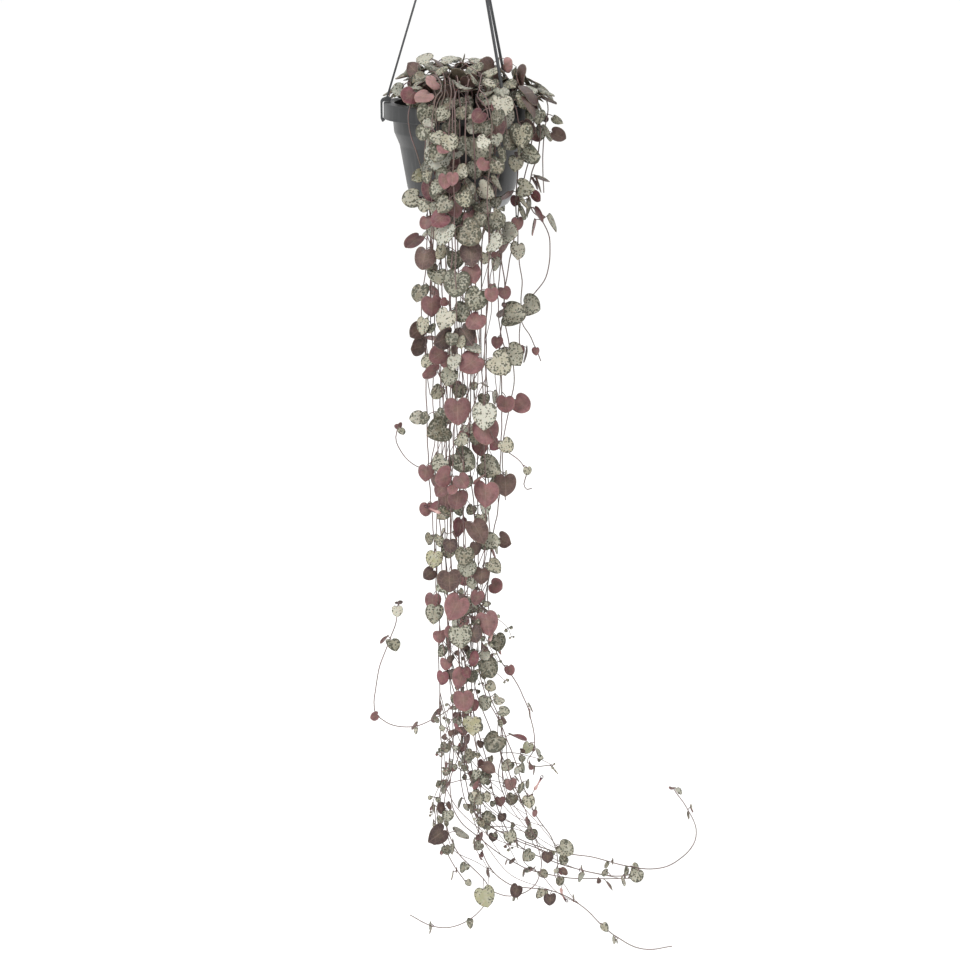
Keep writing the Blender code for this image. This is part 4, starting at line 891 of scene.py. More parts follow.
def place_free(s, root, angle, width, leaves, crowd, rng):
    for attempt in range(7):
        leaf = free_leaf(s, root, angle + rng.gauss(0, 0.25 + 0.12 * attempt), width * (1.0 - 0.06 * attempt),
            rng)
        if is_free(leaf, crowd):
            leaves.append(leaf)
            crowd.add(*coarse_leaf(leaf))
            break


def usual_width(z, rng):
    """Leaves are largest near the pot and smaller down the strands."""
    for height, low, high in ((-120, 15, 21), (-420, 13, 19), (-600, 11, 16), (-2000, 9, 14)):
        if z > height:
            return rng.uniform(low, high)


def bare_spots(dense, leaves, rng):
    """Places for pairs of leaves on the bare lengths: close together over the soil, wider apart below."""
    first, later = [], []
    for s, course in enumerate(dense):
        roots = [leaf["root"] for leaf in leaves if leaf["owner"] == s]
        since = 0.0
        for last, p in zip(course, course[1:]):
            since += (p - last).length
            over_soil = p.z > -6 and off_axis(p) < 70
            if p.z < -5 and off_axis(p) < 71:
                continue
            near = min([(p - q).length for q in roots], default=99.0)
            step = rng.uniform(11, 17) if over_soil else rng.uniform(36, 60)
            if near > step * 0.6 and since > step:
                since = 0.0
                (first if over_soil or p.y > 20 else later).append((s, p, rng.uniform(0, 2 * math.pi)))
        first.append((s, course[-1], rng.uniform(0, 2 * math.pi)))
    rng.shuffle(first)
    rng.shuffle(later)
    return first, later


print("usual width at the pot", round(usual_width(0, random.Random(1)), 1), "mm")

# %% Fill the crown first, then the rest
MOST_LEAVES, CROWN_FILL, KEPT_FOR_LAST, PARTNER_SHARE = 322, 84, 45, 0.45


def add_pairs(spots, limit, leaves, crowd, rng):
    for s, p, angle in spots:
        for half in (0.0, math.pi):
            if len(leaves) < limit:
                place_free(s, p, angle + half, usual_width(p.z, rng), leaves, crowd, rng)


def fill_strands(dense, leaves, crowd, rng):
    """Adds pairs over the soil and at the tips, opposite partners, then pairs on the bare lengths."""
    aimed = list(leaves)
    first, later = bare_spots(dense, leaves, rng)
    add_pairs(first, len(leaves) + CROWN_FILL, leaves, crowd, rng)
    for leaf in aimed:
        if len(leaves) < MOST_LEAVES - KEPT_FOR_LAST and rng.random() < PARTNER_SHARE:
            out = leaf["notch"] - leaf["root"]
            angle = math.atan2(-out.y, -out.x)
            place_free(leaf["owner"], leaf["root"], angle, leaf["width"] * 0.9, leaves, crowd, rng)
    add_pairs(later, MOST_LEAVES, leaves, crowd, rng)


def full_crowd(obstacles, courses, radius, step):
    """A crowd that holds the pot, the soil and the straps, and every stem as a row of short tubes."""
    crowd = Crowd()
    for points, faces in obstacles:
        crowd.add(points, faces)
    for s, course in enumerate(courses):
        for k in range(0, len(course) - 1, step):
            crowd.add(*tube(course[k:k + step + 1], radius, 4), s)
    return crowd


def grow_plant(obstacles):
    """The courses of all stems, and every leaf with its place, size and tone."""
    rng = random.Random(11)
    courses = [long_course(entry) for entry in LONG_STRANDS]
    courses += [back_course(entry, rng) for entry in BACK_STRANDS]
    courses += [shoot_course(entry) for entry in CROWN_SHOOTS]
    spread(courses)
    strands = clear_courses(courses)
    dense = [smooth_line(course) for course in strands]
    crowd = full_crowd(obstacles, strands, STEM_RADIUS + 0.35, 3)
    places = sorted(CROWN_LEAVES, key=lambda item: -item[3])
    places += [(x, None, *rest) for x, *rest in sorted(HANGING_LEAVES, key=lambda item: -item[2])]
    leaves = []
    for place in places:
        place_aimed(dense, *place, leaves, crowd, rng)
    print("leaves aimed at the photograph's", len(leaves), "of", len(places))
    fill_strands(dense, leaves, crowd, rng)
    return strands, leaves


print("at most", MOST_LEAVES, "leaves in the solids")

# %% [markdown]
# ## The same plant, grown again
# The solids were grown by this rule. It runs here with the same seeds and in the same order, so that every
# fine leaf below lands where its coarse one is in the frame.

# %% Grow the plant
obstacles = [lathe(POT_OUTLINE, COARSE_STEPS), lathe(TRAY_OUTLINE, COARSE_STEPS), soil_shape()]
for angle in STRAP_ANGLES.values():
    obstacles += [strap_shape(angle), prism(CLIP_OUTLINE, angle, CLIP_WIDTH)]
strands, leaves = grow_plant(obstacles)
long_count = len(LONG_STRANDS) + len(BACK_STRANDS)
strand_names = [f"strand_{k + 1:02d}" for k in range(long_count)]
strand_names += [f"crown_{k + 1:02d}" for k in range(len(CROWN_SHOOTS))]
print(len(strands), "stems and", len(leaves), "leaves")

# %% [markdown]
# ## Leaf, upper side
# The blade is thick and fleshy, and its skin is a smooth wax. Silver grey ground shows between dense, dark
# olive spots, which run together on some leaves and thin out along the midrib. To the eye that means a soft
# broad gloss, a little light inside the flesh, and a pattern that never repeats. Each leaf carries its own
# tint as a colour on its corners, and its place on the blade in millimetres on its points, so the pattern
# has its real scale on every leaf, whatever its size.

# %% Leaf, upper side
SPOT_MM = 1.85  # real spots stand about 1 mm apart; at 1 px a millimetre they are drawn this coarse to show
PATCH_MM, CELL_MM, DRIFT_MM = 5.9, 0.62, 2.9

waxy_leaf_skin, tree = empty_material("waxy_leaf_upper_skin")
place = add(tree, "Attribute", attribute_name="leaf_mm")
edge = add(tree, "SeparateXYZ", {"Vector": (add(tree, "Attribute", attribute_name="leaf_where"), "Vector")})
tint = add(tree, "Attribute", attribute_name="tint")
drift = add(tree, "TexNoise", {"Vector": (place, "Vector"), "Scale": 1 / DRIFT_MM, "Detail": 2.0})
bent = add(tree, "VectorMath", {0: (drift, "Color"), 1: (1.9, 1.9, 0.0)}, operation="MULTIPLY")
moved = add(tree, "VectorMath", {0: (place, "Vector"), 1: (bent, "Vector")}, operation="ADD")
spots = add(tree, "TexVoronoi", {"Vector": (moved, "Vector"), "Scale": 1 / SPOT_MM, "Randomness": 1.0})
patches = add(tree, "TexNoise", {"Vector": (place, "Vector"), "Scale": 1 / PATCH_MM, "Detail": 2.0})
local = add(tree, "ValToRGB", {"Fac": (patches, "Fac")}, [(0.34, 0.0), (0.66, 0.30)])
midrib = add(tree, "ValToRGB", {"Fac": (edge, "X")}, [(0.02, 0.30), (0.14, 0.0)])
to_rim = add(tree, "ValToRGB", {"Fac": (edge, "Y")}, [(0.70, 0.0), (1.0, 0.22)])
share = add(tree, "Math", {0: (tint, "Alpha"), 1: 0.78}, operation="MULTIPLY")
share = add(tree, "Math", {0: (share, 0), 1: (local, "Color")}, operation="ADD")
share = add(tree, "Math", {0: (share, 0), 1: (to_rim, "Color")}, operation="ADD")
share = add(tree, "Math", {0: (share, 0), 1: (midrib, "Color")}, operation="SUBTRACT")
inside = add(tree, "Math", {0: (share, 0), 1: (spots, "Distance")}, operation="SUBTRACT")
dark = add(tree, "MapRange", {"Value": (inside, 0), "From Min": -0.05, "From Max": 0.12, "To Max": 0.90})
silver = add(tree, "ValToRGB", {"Fac": (patches, "Fac")}, [(0.40, 0.0), (0.70, 0.6)])
ground = add(tree, "Mix", {0: (silver, "Color"), 6: (tint, "Color"), 7: linear("B9B6A8")}, data_type="RGBA")
spotted = add(tree, "Mix", {0: (dark, 0), 6: (ground, 2), 7: linear("3E3E31")}, data_type="RGBA")
rim = add(tree, "ValToRGB", {"Fac": (edge, "Y")}, [(0.93, 0.0), (1.0, 0.55)])
colour = add(tree, "Mix", {0: (rim, "Color"), 6: (spotted, 2), 7: linear("5D5442")}, data_type="RGBA")
gloss = add(tree, "ValToRGB", {"Fac": (patches, "Fac")}, [(0.3, 0.42), (0.7, 0.58)])
cells = add(tree, "TexNoise", {"Vector": (place, "Vector"), "Scale": 1 / CELL_MM, "Detail": 3.0})
relief = add(tree, "Mix", {0: 0.35, 6: (cells, "Fac"), 7: (dark, 0)}, data_type="RGBA")
bump = add(tree, "Bump", {"Height": (relief, 2), "Strength": 0.25, "Distance": 0.25 * MM})
shader = add(tree, "BsdfPrincipled", {"Base Color": (colour, 2), "Roughness": (gloss, "Color"),
    "Normal": (bump, "Normal"), "Subsurface Weight": 0.08, "Subsurface Scale": 1.2 * MM,
    "Specular IOR Level": 0.36})
add(tree, "OutputMaterial", {"Surface": (shader, "BSDF")})
print(waxy_leaf_skin.name, len(tree.nodes), "nodes")

# %% [markdown]
# ## Leaf, underside
# The underside has no spots. It is dusty rose to plum, because the pigment there throws light back into the
# leaf, with a breath of green near the stalk, a paler midrib and a faint net of veins. It has less wax, so
# it looks drier than the upper side.

# %% Leaf, underside
CLOUD_MM, VEIN_MM = 6.2, 3.8

dry_leaf_skin, tree = empty_material("dusty_leaf_under_skin")
place = add(tree, "Attribute", attribute_name="leaf_mm")
edge = add(tree, "SeparateXYZ", {"Vector": (add(tree, "Attribute", attribute_name="leaf_where"), "Vector")})
tint = add(tree, "Attribute", attribute_name="tint")
cloud = add(tree, "TexNoise", {"Vector": (place, "Vector"), "Scale": 1 / CLOUD_MM, "Detail": 3.0,
    "Roughness": 0.6, "Distortion": 0.6})
light = add(tree, "ValToRGB", {"Fac": (cloud, "Fac")}, [(0.30, 0.62), (0.68, 1.18)])
shaded = add(tree, "Mix", {0: 1.0, 6: (tint, "Color"), 7: (light, "Color")}, data_type="RGBA",
    blend_type="MULTIPLY")
breath = add(tree, "ValToRGB", {"Fac": (edge, "Y")}, [(0.0, 0.42), (0.75, 0.0)])
colour = add(tree, "Mix", {0: (breath, "Color"), 6: (shaded, 2), 7: linear("736552")}, data_type="RGBA")
veins = add(tree, "TexVoronoi", {"Vector": (place, "Vector"), "Scale": 1 / VEIN_MM, "Randomness": 0.8},
    feature="DISTANCE_TO_EDGE")
net = add(tree, "ValToRGB", {"Fac": (veins, "Distance")}, [(0.0, 0.16), (0.10, 0.0)])
midrib = add(tree, "ValToRGB", {"Fac": (edge, "X")}, [(0.0, 0.3), (0.05, 0.0)])
rim = add(tree, "ValToRGB", {"Fac": (edge, "Y")}, [(0.92, 0.0), (1.0, 0.35)])
for mask, code in ((net, "9C7F7B"), (midrib, "987D74"), (rim, "827B64")):
    colour = add(tree, "Mix", {0: (mask, "Color"), 6: (colour, 2), 7: linear(code)}, data_type="RGBA")
dryness = add(tree, "ValToRGB", {"Fac": (cloud, "Fac")}, [(0.3, 0.45), (0.7, 0.62)])
cells = add(tree, "TexNoise", {"Vector": (place, "Vector"), "Scale": 1 / CELL_MM, "Detail": 3.0})
bump = add(tree, "Bump", {"Height": (cells, "Fac"), "Strength": 0.25, "Distance": 0.2 * MM})
shader = add(tree, "BsdfPrincipled", {"Base Color": (colour, 2), "Roughness": (dryness, "Color"),
    "Normal": (bump, "Normal"), "Subsurface Weight": 0.08, "Subsurface Scale": 1.2 * MM,
    "Specular IOR Level": 0.34})
add(tree, "OutputMaterial", {"Surface": (shader, "BSDF")})
print(dry_leaf_skin.name, len(tree.nodes), "nodes")

# %% [markdown]
# ## Stem
# The stems are wiry and smooth, purple brown where they are old and grey green where they are young. The
# skin is finely pitted, which only takes the shine off it, so the bump is small and the colour drifts
# slowly along.

# %% Stem
STEM_DRIFT_MM, STEM_PIT_MM = 38.0, 0.67

vine_skin, tree = empty_material("smooth_vine_skin")
where = add(tree, "TexCoord")
age = add(tree, "TexNoise", {"Vector": (where, "Object"), "Scale": 1 / (STEM_DRIFT_MM * MM), "Detail": 3.0})
tone = add(tree, "ValToRGB", {"Fac": (age, "Fac")},
    [(0.32, linear("67594F")), (0.5, linear("6C5553")), (0.70, linear("574B43"))])
pits = add(tree, "TexNoise", {"Vector": (where, "Object"), "Scale": 1 / (STEM_PIT_MM * MM), "Detail": 2.0})
worn = add(tree, "ValToRGB", {"Fac": (age, "Fac")}, [(0.3, 0.44), (0.7, 0.58)])
bump = add(tree, "Bump", {"Height": (pits, "Fac"), "Strength": 0.3, "Distance": 0.1 * MM})
shader = add(tree, "BsdfPrincipled", {"Base Color": (tone, "Color"), "Roughness": (worn, "Color"),
    "Normal": (bump, "Normal"), "Subsurface Weight": 0.1, "Subsurface Scale": 1.0 * MM})
add(tree, "OutputMaterial", {"Surface": (shader, "BSDF")})
plant_materials = [waxy_leaf_skin, dry_leaf_skin, vine_skin]
print("plant materials", [material.name for material in plant_materials])

# %% [markdown]
# ## Outline and tints of a fine leaf
# Seen from the front, a leaf is a heart with two round lobes at the stalk and a short tip. Old leaves are
# blunter and rounder than young ones, so two outlines are drawn and every leaf lies somewhere
# between them. Each tone letter has a colour and, for the upper side, the share of the dark spots. Small
# random steps from leaf to leaf keep them from looking copied.

# %% Outline of a fine leaf
POINTED_HALF = [(0.04, 0.0), (-0.06, 0.11), (-0.13, 0.28), (-0.135, 0.50), (-0.07, 0.75), (0.06, 0.93),
    (0.24, 0.99), (0.42, 0.94), (0.60, 0.77), (0.75, 0.53), (0.87, 0.28), (0.95, 0.10), (1.0, 0.0)]
ROUND_HALF = [(0.02, 0.0), (-0.04, 0.13), (-0.09, 0.29), (-0.10, 0.50), (-0.06, 0.73), (0.04, 0.91),
    (0.20, 1.0), (0.38, 1.0), (0.56, 0.91), (0.71, 0.73), (0.82, 0.48), (0.885, 0.22), (0.91, 0.0)]
RIM_POINTS = 36


def smooth_flat(points, count):
    """The outline resampled evenly by length, after smoothing."""
    curve = smooth_course([Vector((u, v, 0.0)) for u, v in points], 0.01)
    lengths = [0.0]
    for a, b in zip(curve, curve[1:]):
        lengths.append(lengths[-1] + (b - a).length)
    found = []
    for k in range(count):
        wanted = lengths[-1] * k / (count - 1)
        i = max(1, next(n for n, length in enumerate(lengths) if length >= wanted - 1e-9))
        p = curve[i - 1].lerp(curve[i], (wanted - lengths[i - 1]) / max(lengths[i] - lengths[i - 1], 1e-9))
        found.append((p.x, p.y))
    return found


def whole_rim(half):
    """The whole outline from its right half, evenly spaced."""
    half = smooth_flat(half, RIM_POINTS // 2 + 1)
    return half + [(u, -v) for u, v in half[-2:0:-1]]


POINTED, ROUND = whole_rim(POINTED_HALF), whole_rim(ROUND_HALF)
print("rim points", len(POINTED))

# %% Tints of a fine leaf
UPPER_TINTS = {"g": ("9C9886", 0.38), "m": ("8C8876", 0.55), "c": ("B3B0A1", 0.29), "o": ("766F5E", 0.51),
    "y": ("9F9C7E", 0.24)}
UNDER_TINTS = {"p": "80595A", "r": "6E4147", "k": "A98380", "b": "5D4843", "d": "4E3D3A", "n": "6A6150"}


def leaf_tints(leaf, rng):
    """(upper colour, share of dark mottling) and underside colour, varied and darkened by painted shade."""
    tone = leaf["tone"]
    upper = tone if tone in UPPER_TINTS else rng.choice("ggmoc")
    under = tone if tone in UNDER_TINTS else rng.choice("nnnbpd" if leaf["root"].z > -4 else "ppprbd")
    code, dark = UPPER_TINTS[upper]
    # The leaf's open factor is painted shade: it darkens the tints of leaves that sit inside the bundle.
    vary = rng.uniform(0.84, 1.08) * leaf["open"]
    warm = rng.uniform(0.96, 1.03)
    top = tuple(min(1.0, c * vary * w) for c, w in zip(linear(code), (warm, 1.0, 2.0 - warm)))
    vary = rng.uniform(0.68, 1.12) * leaf["open"]
    low = tuple(min(1.0, c * vary) for c in linear(UNDER_TINTS[under]))
    return (*top, dark), (*low, 0.0)


print("upper tones", list(UPPER_TINTS), "under tones", list(UNDER_TINTS))

# %% [markdown]
# ## One mesh for a whole stem
# A stem with its leaves is one piece, so its points and faces are gathered in lists and turned into a mesh
# once at the end, which is much faster than joining hundreds of objects. Three attributes go with them: the
# place on the blade in millimetres, the distance from midrib and rim, and the tint. The two helpers that
# come first serve every piece: one moves its points into the frame, and the other tells what it rides on
# and which solids it stands for.

# %% One mesh for a whole stem
def mesh_piece(name, points, faces, materials, clean_up=True):
    """Moves points from millimetres over the rim into the frame, and makes them an object."""
    lift = Vector((0, 0, RIM_BELOW_HOOK))
    mesh = bpy.data.meshes.new(name)
    mesh.from_pydata([tuple((p - lift) * MM) for p in points], [], faces)
    for material in materials:
        mesh.materials.append(material)
    obj = bpy.data.objects.new(name, mesh)
    scene.collection.objects.link(obj)
    if clean_up:
        bm = bmesh.new()
        bm.from_mesh(mesh)
        bmesh.ops.remove_doubles(bm, verts=bm.verts, dist=1e-6)
        bmesh.ops.dissolve_degenerate(bm, edges=bm.edges, dist=1e-7)
        bmesh.ops.recalc_face_normals(bm, faces=bm.faces)
        bm.to_mesh(mesh)
        bm.free()
    mesh.shade_smooth()
    return obj


def settle(piece, slot, *nodes):
    """Every piece rides on the one body and stands for its nodes; the finish slot is not used."""
    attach(piece, "root")
    if nodes:
        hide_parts(*nodes)
    return piece


class Build:
    """Points, faces and their attributes of one piece, gathered before the mesh is made."""

    def __init__(self):
        self.points, self.faces, self.slots = [], [], []
        self.place, self.where, self.tints = [], [], []

    def add(self, points, faces, slot, tints=(0.5, 0.5, 0.5, 0.0), place=None, where=None):
        start = len(self.points)
        self.points += points
        self.place += place or [(0.0, 0.0, 0.0)] * len(points)
        self.where += where or [(1.0, 0.0, 0.0)] * len(points)
        for face in faces:
            self.faces.append(tuple(start + i for i in face))
            self.slots.append(slot)
            self.tints += [tints] * len(face)

    def object(self, name, materials):
        piece = mesh_piece(name, self.points, self.faces, materials, clean_up=False)
        mesh = piece.data
        mesh.polygons.foreach_set("material_index", self.slots)
        for label, values in (("leaf_mm", self.place), ("leaf_where", self.where)):
            vectors = mesh.attributes.new(label, "FLOAT_VECTOR", "POINT")
            vectors.data.foreach_set("vector", [c for value in values for c in value])
        tint = mesh.attributes.new("tint", "FLOAT_COLOR", "CORNER")
        tint.data.foreach_set("color", [c for value in self.tints for c in value])
        return piece


print("a new build holds", len(Build().points), "points")

# %% [markdown]
# ## The fleshy blade
# A fine leaf is a closed shell: rings of points from the middle of the blade to its rim, once above and
# once below. It is thickest in the middle and rounded at the rim, with a shallow groove over the midrib. It
# keeps the notch, the direction, the fold and the curl of the coarse leaf, so it fills the same space.

# %% The fleshy blade
RINGS = (0.34, 0.66, 0.88, 0.975, 1.0)
MID_BLADE = 0.34
BLADE_FACES = disc_faces(len(RINGS), RIM_POINTS)


def fine_point(leaf, spans, u, v, s, side, wave):
    """A point on one side of the blade, s from its centre (0) to its rim (1)."""
    width = leaf["width"]
    ripple = width * 0.014 * math.sin(wave + 4.0 * math.atan2(v, u - MID_BLADE)) * s * s
    lift = 0.0
    if s < 1.0:
        thick = (0.42 + width * 0.022) * (1.0 - s ** 2.6) ** 0.7 + 0.17
        groove = math.exp(-((v * width / 2 / 0.9) ** 2)) * (1.0 - s ** 3)
        lift = thick - 0.24 * groove if side > 0 else -thick * 0.85 - 0.16 * groove
    return blade_point(leaf, spans, u, v) + spans[1] * (lift + ripple)


def add_fine_leaf(build, leaf, rng):
    spans, width = leaf_frame(leaf), leaf["width"]
    upper, under = leaf_tints(leaf, rng)
    wave, seed = rng.uniform(0, 6.28), rng.uniform(0, 500)
    blunt = rng.uniform(0.25, 1.0)
    rim = [(a + (c - a) * blunt, b + (d - b) * blunt) for (a, b), (c, d) in zip(POINTED, ROUND)]
    spots = [(MID_BLADE, 0.0, 0.0)]
    spots += [(MID_BLADE + (u - MID_BLADE) * s, v * s, s) for s in RINGS for u, v in rim]
    place = [(u * width, v * width / 2, seed) for u, v, _ in spots]
    where = [(abs(v), s, 0.0) for _, v, s in spots]
    for side, tints in ((1, upper), (-1, under)):
        points = [fine_point(leaf, spans, u, v, s, side, wave) for u, v, s in spots]
        faces = [face[::-1] for face in BLADE_FACES] if side > 0 else BLADE_FACES
        build.add(points, faces, 0 if side > 0 else 1, tints, place, where)


print("one leaf has", 2 * sum(len(face) - 2 for face in BLADE_FACES), "triangles")

# %% Stalks and soft stems
def add_stalk(build, leaf, root):
    spans = leaf_frame(leaf)
    end = blade_point(leaf, spans, 0.07, 0.0) - spans[1] * 0.25
    middle = root.lerp(leaf["notch"], 0.55) + Vector((0, 0, 0.05 * leaf["width"]))
    path = smooth_course([root, middle, leaf["notch"] - spans[1] * 0.15, end], 1.2)
    build.add(*tube(path, 0.42, 5, 0.36), 2)


def fine_stem(course, number):
    """The course smoothed, with the slight waves of a soft stem; its foot stays in the soil."""
    rng = random.Random(40 + number)
    shift = Vector((rng.uniform(0, 90), rng.uniform(0, 90), 0))
    smooth = smooth_course(course, 4.0)
    found, along = [], 0.0
    for i, p in enumerate(smooth):
        along += (p - smooth[i - 1]).length if i else 0.0
        free = min(1.0, max(0.0, along - 22.0) / 30.0)
        move = Vector()
        for size, pace, layer in ((3.4, 0.016, 0.0), (1.0, 0.06, 7.0)):
            wave = noise.noise_vector(shift + Vector((along * pace, number * 3.1, layer)))
            move += Vector((wave.x, wave.y, 0.0)) * (size * free)
        found.append(p + move)
    return found


# Vector noise takes its seed from the clock unless it gets one.
noise.seed_set(7)
fine_courses = [fine_stem(course, s) for s, course in enumerate(strands)]
print("longest stem", max(len(course) for course in fine_courses), "points")

# %% [markdown]
# ## Smaller leaves low down
# A leaf near a growing tip isn't full grown, and those at the end of a long stem stay small. The coarse
# leaves there are a little too big, because small solids aren't worth their faces, so the fine ones shrink.

# %% Smaller leaves low down
def grown_size(leaf):
    """How much of its coarse width a leaf has reached: less low on the strands and near a growing tip."""
    tip = strands[leaf["owner"]][-1]
    if tip.z < -60 and (leaf["root"] - tip).length < 26:
        return 0.58
    return 0.84 if leaf["root"].z < -540 else 1.0


for leaf in leaves:
    share = grown_size(leaf)
    leaf["notch"] = leaf["root"].lerp(leaf["notch"], 0.4 + 0.6 * share)
    leaf["width"] *= share
print("smallest leaf", round(min(leaf["width"] for leaf in leaves), 1), "mm")

# %% [markdown]
# ## Room for more leaves
# The solids hold only the leaves that can be told apart. The plant has more: the thickness of the crown,
# the opposite partners and the tiny leaves at the tips. They are thin enough to stay out of the solids. A
# new crowd holds what stands already, every fine leaf in it as a few triangles, and each new leaf is tested
# against it.

# %% Room for more leaves
def thin_leaf(leaf, grow=0.0):
    """A few triangles that hold the fine blade: its rim, and a point over and under its middle."""
    big = dict(leaf, width=leaf["width"] + grow)
    spans = leaf_frame(big)
    rim = [blade_point(big, spans, u, v) for u, v in POINTED[::4]]
    middle = blade_point(big, spans, 0.36, 0.0)
    thick = 0.6 + big["width"] * 0.022 + grow
    n = len(rim)
    faces = [(n, k, (k + 1) % n) for k in range(n)] + [(n + 1, (k + 1) % n, k) for k in range(n)]
    return rim + [middle + spans[1] * thick, middle - spans[1] * thick], faces


def take_room(leaf):
    crowd.add(*thin_leaf(leaf))
    crowd.add(*tube([leaf["root"], leaf["notch"]], 0.5, 3), leaf["owner"])


crowd = full_crowd(obstacles, fine_courses, 0.8, 4)
for leaf in leaves:
    take_room(leaf)
print("pieces in the crowd", crowd.count)

# %% Rules for a new leaf
BOX_LOW = [c / MM + (RIM_BELOW_HOOK if k == 2 else 0.0) + 0.6 for k, c in enumerate(cad_box[0])]
BOX_HIGH = [c / MM + (RIM_BELOW_HOOK if k == 2 else 0.0) - 0.6 for k, c in enumerate(cad_box[1])]


def in_box(points):
    return all(BOX_LOW[k] < p[k] < BOX_HIGH[k] for p in points for k in range(3))


def blade_middle(leaf, share=0.45):
    return leaf["notch"] + leaf["axis"] * (share * leaf["width"])


def is_left_bare(middle):
    """Places that stay open in the photograph: the pot's wall beside the bundle, and the left strap's foot."""
    if middle.y < 10 and -100 < middle.z < -6:
        return middle.x < -33 or 33 < middle.x < 50
    return middle.y < 40 and middle.z < 42 and middle.x < -45


def try_leaf(leaf, found):
    """Keeps a leaf that stays in the box, off the bare places and clear of everything else."""
    if is_left_bare(blade_middle(leaf)) or not in_box(thin_leaf(leaf, 0.6)[0]):
        return False
    if crowd.blocks(*thin_leaf(leaf, 0.35)):
        return False
    start = leaf["root"].lerp(leaf["notch"], 0.25)
    if crowd.blocks(*tube([start, leaf["notch"]], 0.45, 3), leaf["owner"]):
        return False
    take_room(leaf)
    found.append(leaf)
    return True


def reach_leaf(s, root, target, width, tone, normal, rng):
    """A leaf on stem s whose blade is centred near the target."""
    stalk, reach = 2.0 + width * rng.uniform(0.20, 0.42), 0.40 * width
    away = target - root
    far = min(max(away.length, abs(stalk - reach) + 0.4), stalk + reach - 0.1)
    first, axis = two_links(unit(away) * far, stalk, reach)
    return dict(owner=s, root=root, notch=root + first * stalk, axis=axis, normal=normal, width=width,
        tone=tone, fold=rng.uniform(-0.6, 1.0), curl=rng.uniform(-0.3, 1.2))


print("leaves stay between", [round(c) for c in BOX_LOW], "and", [round(c) for c in BOX_HIGH])

# %% [markdown]
# ## Runners
# Young runners hold the plant together. Some arch over the crown, brown and bare, and some leave one
# hanging stem and wind across to another, which gives the bundle its tangled look. They are tried at random
# and kept where they pass between the leaves.

# %% Runners over the crown and across the bundle
def stem_points(test):
    """Every point of the stems that passes a test, with the number of its stem."""
    return [(s, p) for s, course in enumerate(fine_courses) for p in course if test(p)]


def add_arches(limit):
    """Bare brown runners that arch over the crown from one side of the soil to the other."""
    crown, made = stem_points(lambda p: p.z > -2 and off_axis(p) < 80), 0
    for _ in range(900):
        s, start = crown[rng.randrange(len(crown))]
        away = rng.uniform(0, 2 * math.pi)
        length, high = rng.uniform(34, 80), rng.uniform(22, 38)
        ahead = Vector((math.cos(away), math.sin(away) * 0.7, 0))
        path = [start, start + ahead * (length * 0.25), start + ahead * (length * 0.6), start + ahead * length]
        path[1].z = max(path[1].z + 4, high * 0.75)
        path[2].z, path[3].z = high, high * rng.uniform(0.3, 0.8)
        arch = smooth_course(path, 3.0)
        if max(off_axis(p) for p in arch) > 66 or min(p.x for p in arch) < -40:
            continue
        if crowd.blocks(*tube(arch[2:], 0.5, 4), s):
            continue
        crowd.add(*tube(arch, 0.6, 4), s)
        shoots[s].append(arch)
        made += 1
        if made == limit:
            break
    return made


def add_twining(limit, low, high, across, sweep):
    """Thin runners from one hanging stem to another; with a sweep over 1 they fall, then swing right."""
    hanging, made = stem_points(lambda p: low < p.z < high and p.y < -40), 0
    for _ in range(3000):
        (s, start), (other, end) = rng.choice(hanging), rng.choice(hanging)
        step = end - start
        if s == other or not 45 < -step.z < 150 or not 8 < abs(step.x) < across or abs(step.y) > 24:
            continue
        if sweep > 1.0 and step.x < 0:
            continue
        front = Vector((0, -rng.uniform(1, 6), 0))
        middle = []
        for t in (0.25, 0.5, 0.75):
            swing = (end.x - start.x) * (t ** sweep - t) + rng.uniform(-6, 6)
            middle.append(start.lerp(end, t) + front + Vector((swing, 0, 0)))
        path = smooth_course([start] + middle + [end], 4.0)
        if is_left_bare(middle[1]) or not in_box(path) or crowd.blocks(*tube(path[1:-2], 0.45, 4), s):
            continue
        crowd.add(*tube(path, 0.5, 4), s)
        shoots[s].append(path)
        made += 1
        if made == limit:
            break
    return made


rng = random.Random(77)
shoots = [[] for _ in strands]
print("arches", add_arches(16))
print("across the bundle", add_twining(34, -560, -20, 34, 1.0))
print("sweeping low down", add_twining(22, -800, -540, 90, 2.2))

# %% [markdown]
# ## Leaves over the soil
# The crown is a low mound of overlapping leaves with their upper sides to the light. Places are drawn at
# random over the mound, and each is reached from a stem close enough for a stalk.

# %% Leaves over the soil
def turned(face, under_share, under_tones, upper_tones):
    """The way a leaf faces and its tone: a share of the leaves shows the underside."""
    under = rng.random() < under_share
    return (-face if under else face), rng.choice(under_tones if under else upper_tones)


def add_mound(limit):
    """Leaves over the soil and over the rim, on a low mound, most with the upper side out."""
    roots = stem_points(lambda p: p.z > -7 and off_axis(p) < 86)
    tree, found = search_tree([p for _, p in roots]), []
    for _ in range(limit * 9):
        if len(found) >= limit:
            break
        angle, r = rng.uniform(0, 2 * math.pi), 80 * math.sqrt(rng.random())
        x, y = r * math.cos(angle), r * math.sin(angle)
        top = 40.0 * (1 - (r / 84) ** 2.4)
        target = Vector((x, y, max(-4.0 if r < 56 else 5.0, top * rng.uniform(0.15, 1.0))))
        width = rng.uniform(12.5, 19.0)
        near = tree.find_range(target, 3.0 + width * 0.85)
        if not near:
            continue
        rng.shuffle(near)
        face = Vector((x * 0.010, y * 0.010 - 0.35, 0.55))
        face += Vector((rng.gauss(0, 0.35), rng.gauss(0, 0.35), rng.gauss(0, 0.25)))
        face, tone = turned(face, 0.11, "pkbpbd", "ggmmmooo")
        for _, n, _ in near[:3]:
            s, root = roots[n]
            leaf = reach_leaf(s, root, target, width, tone, face, rng)
            if leaf["notch"].z > SOIL_EXIT and try_leaf(leaf, found):
                break
    return found


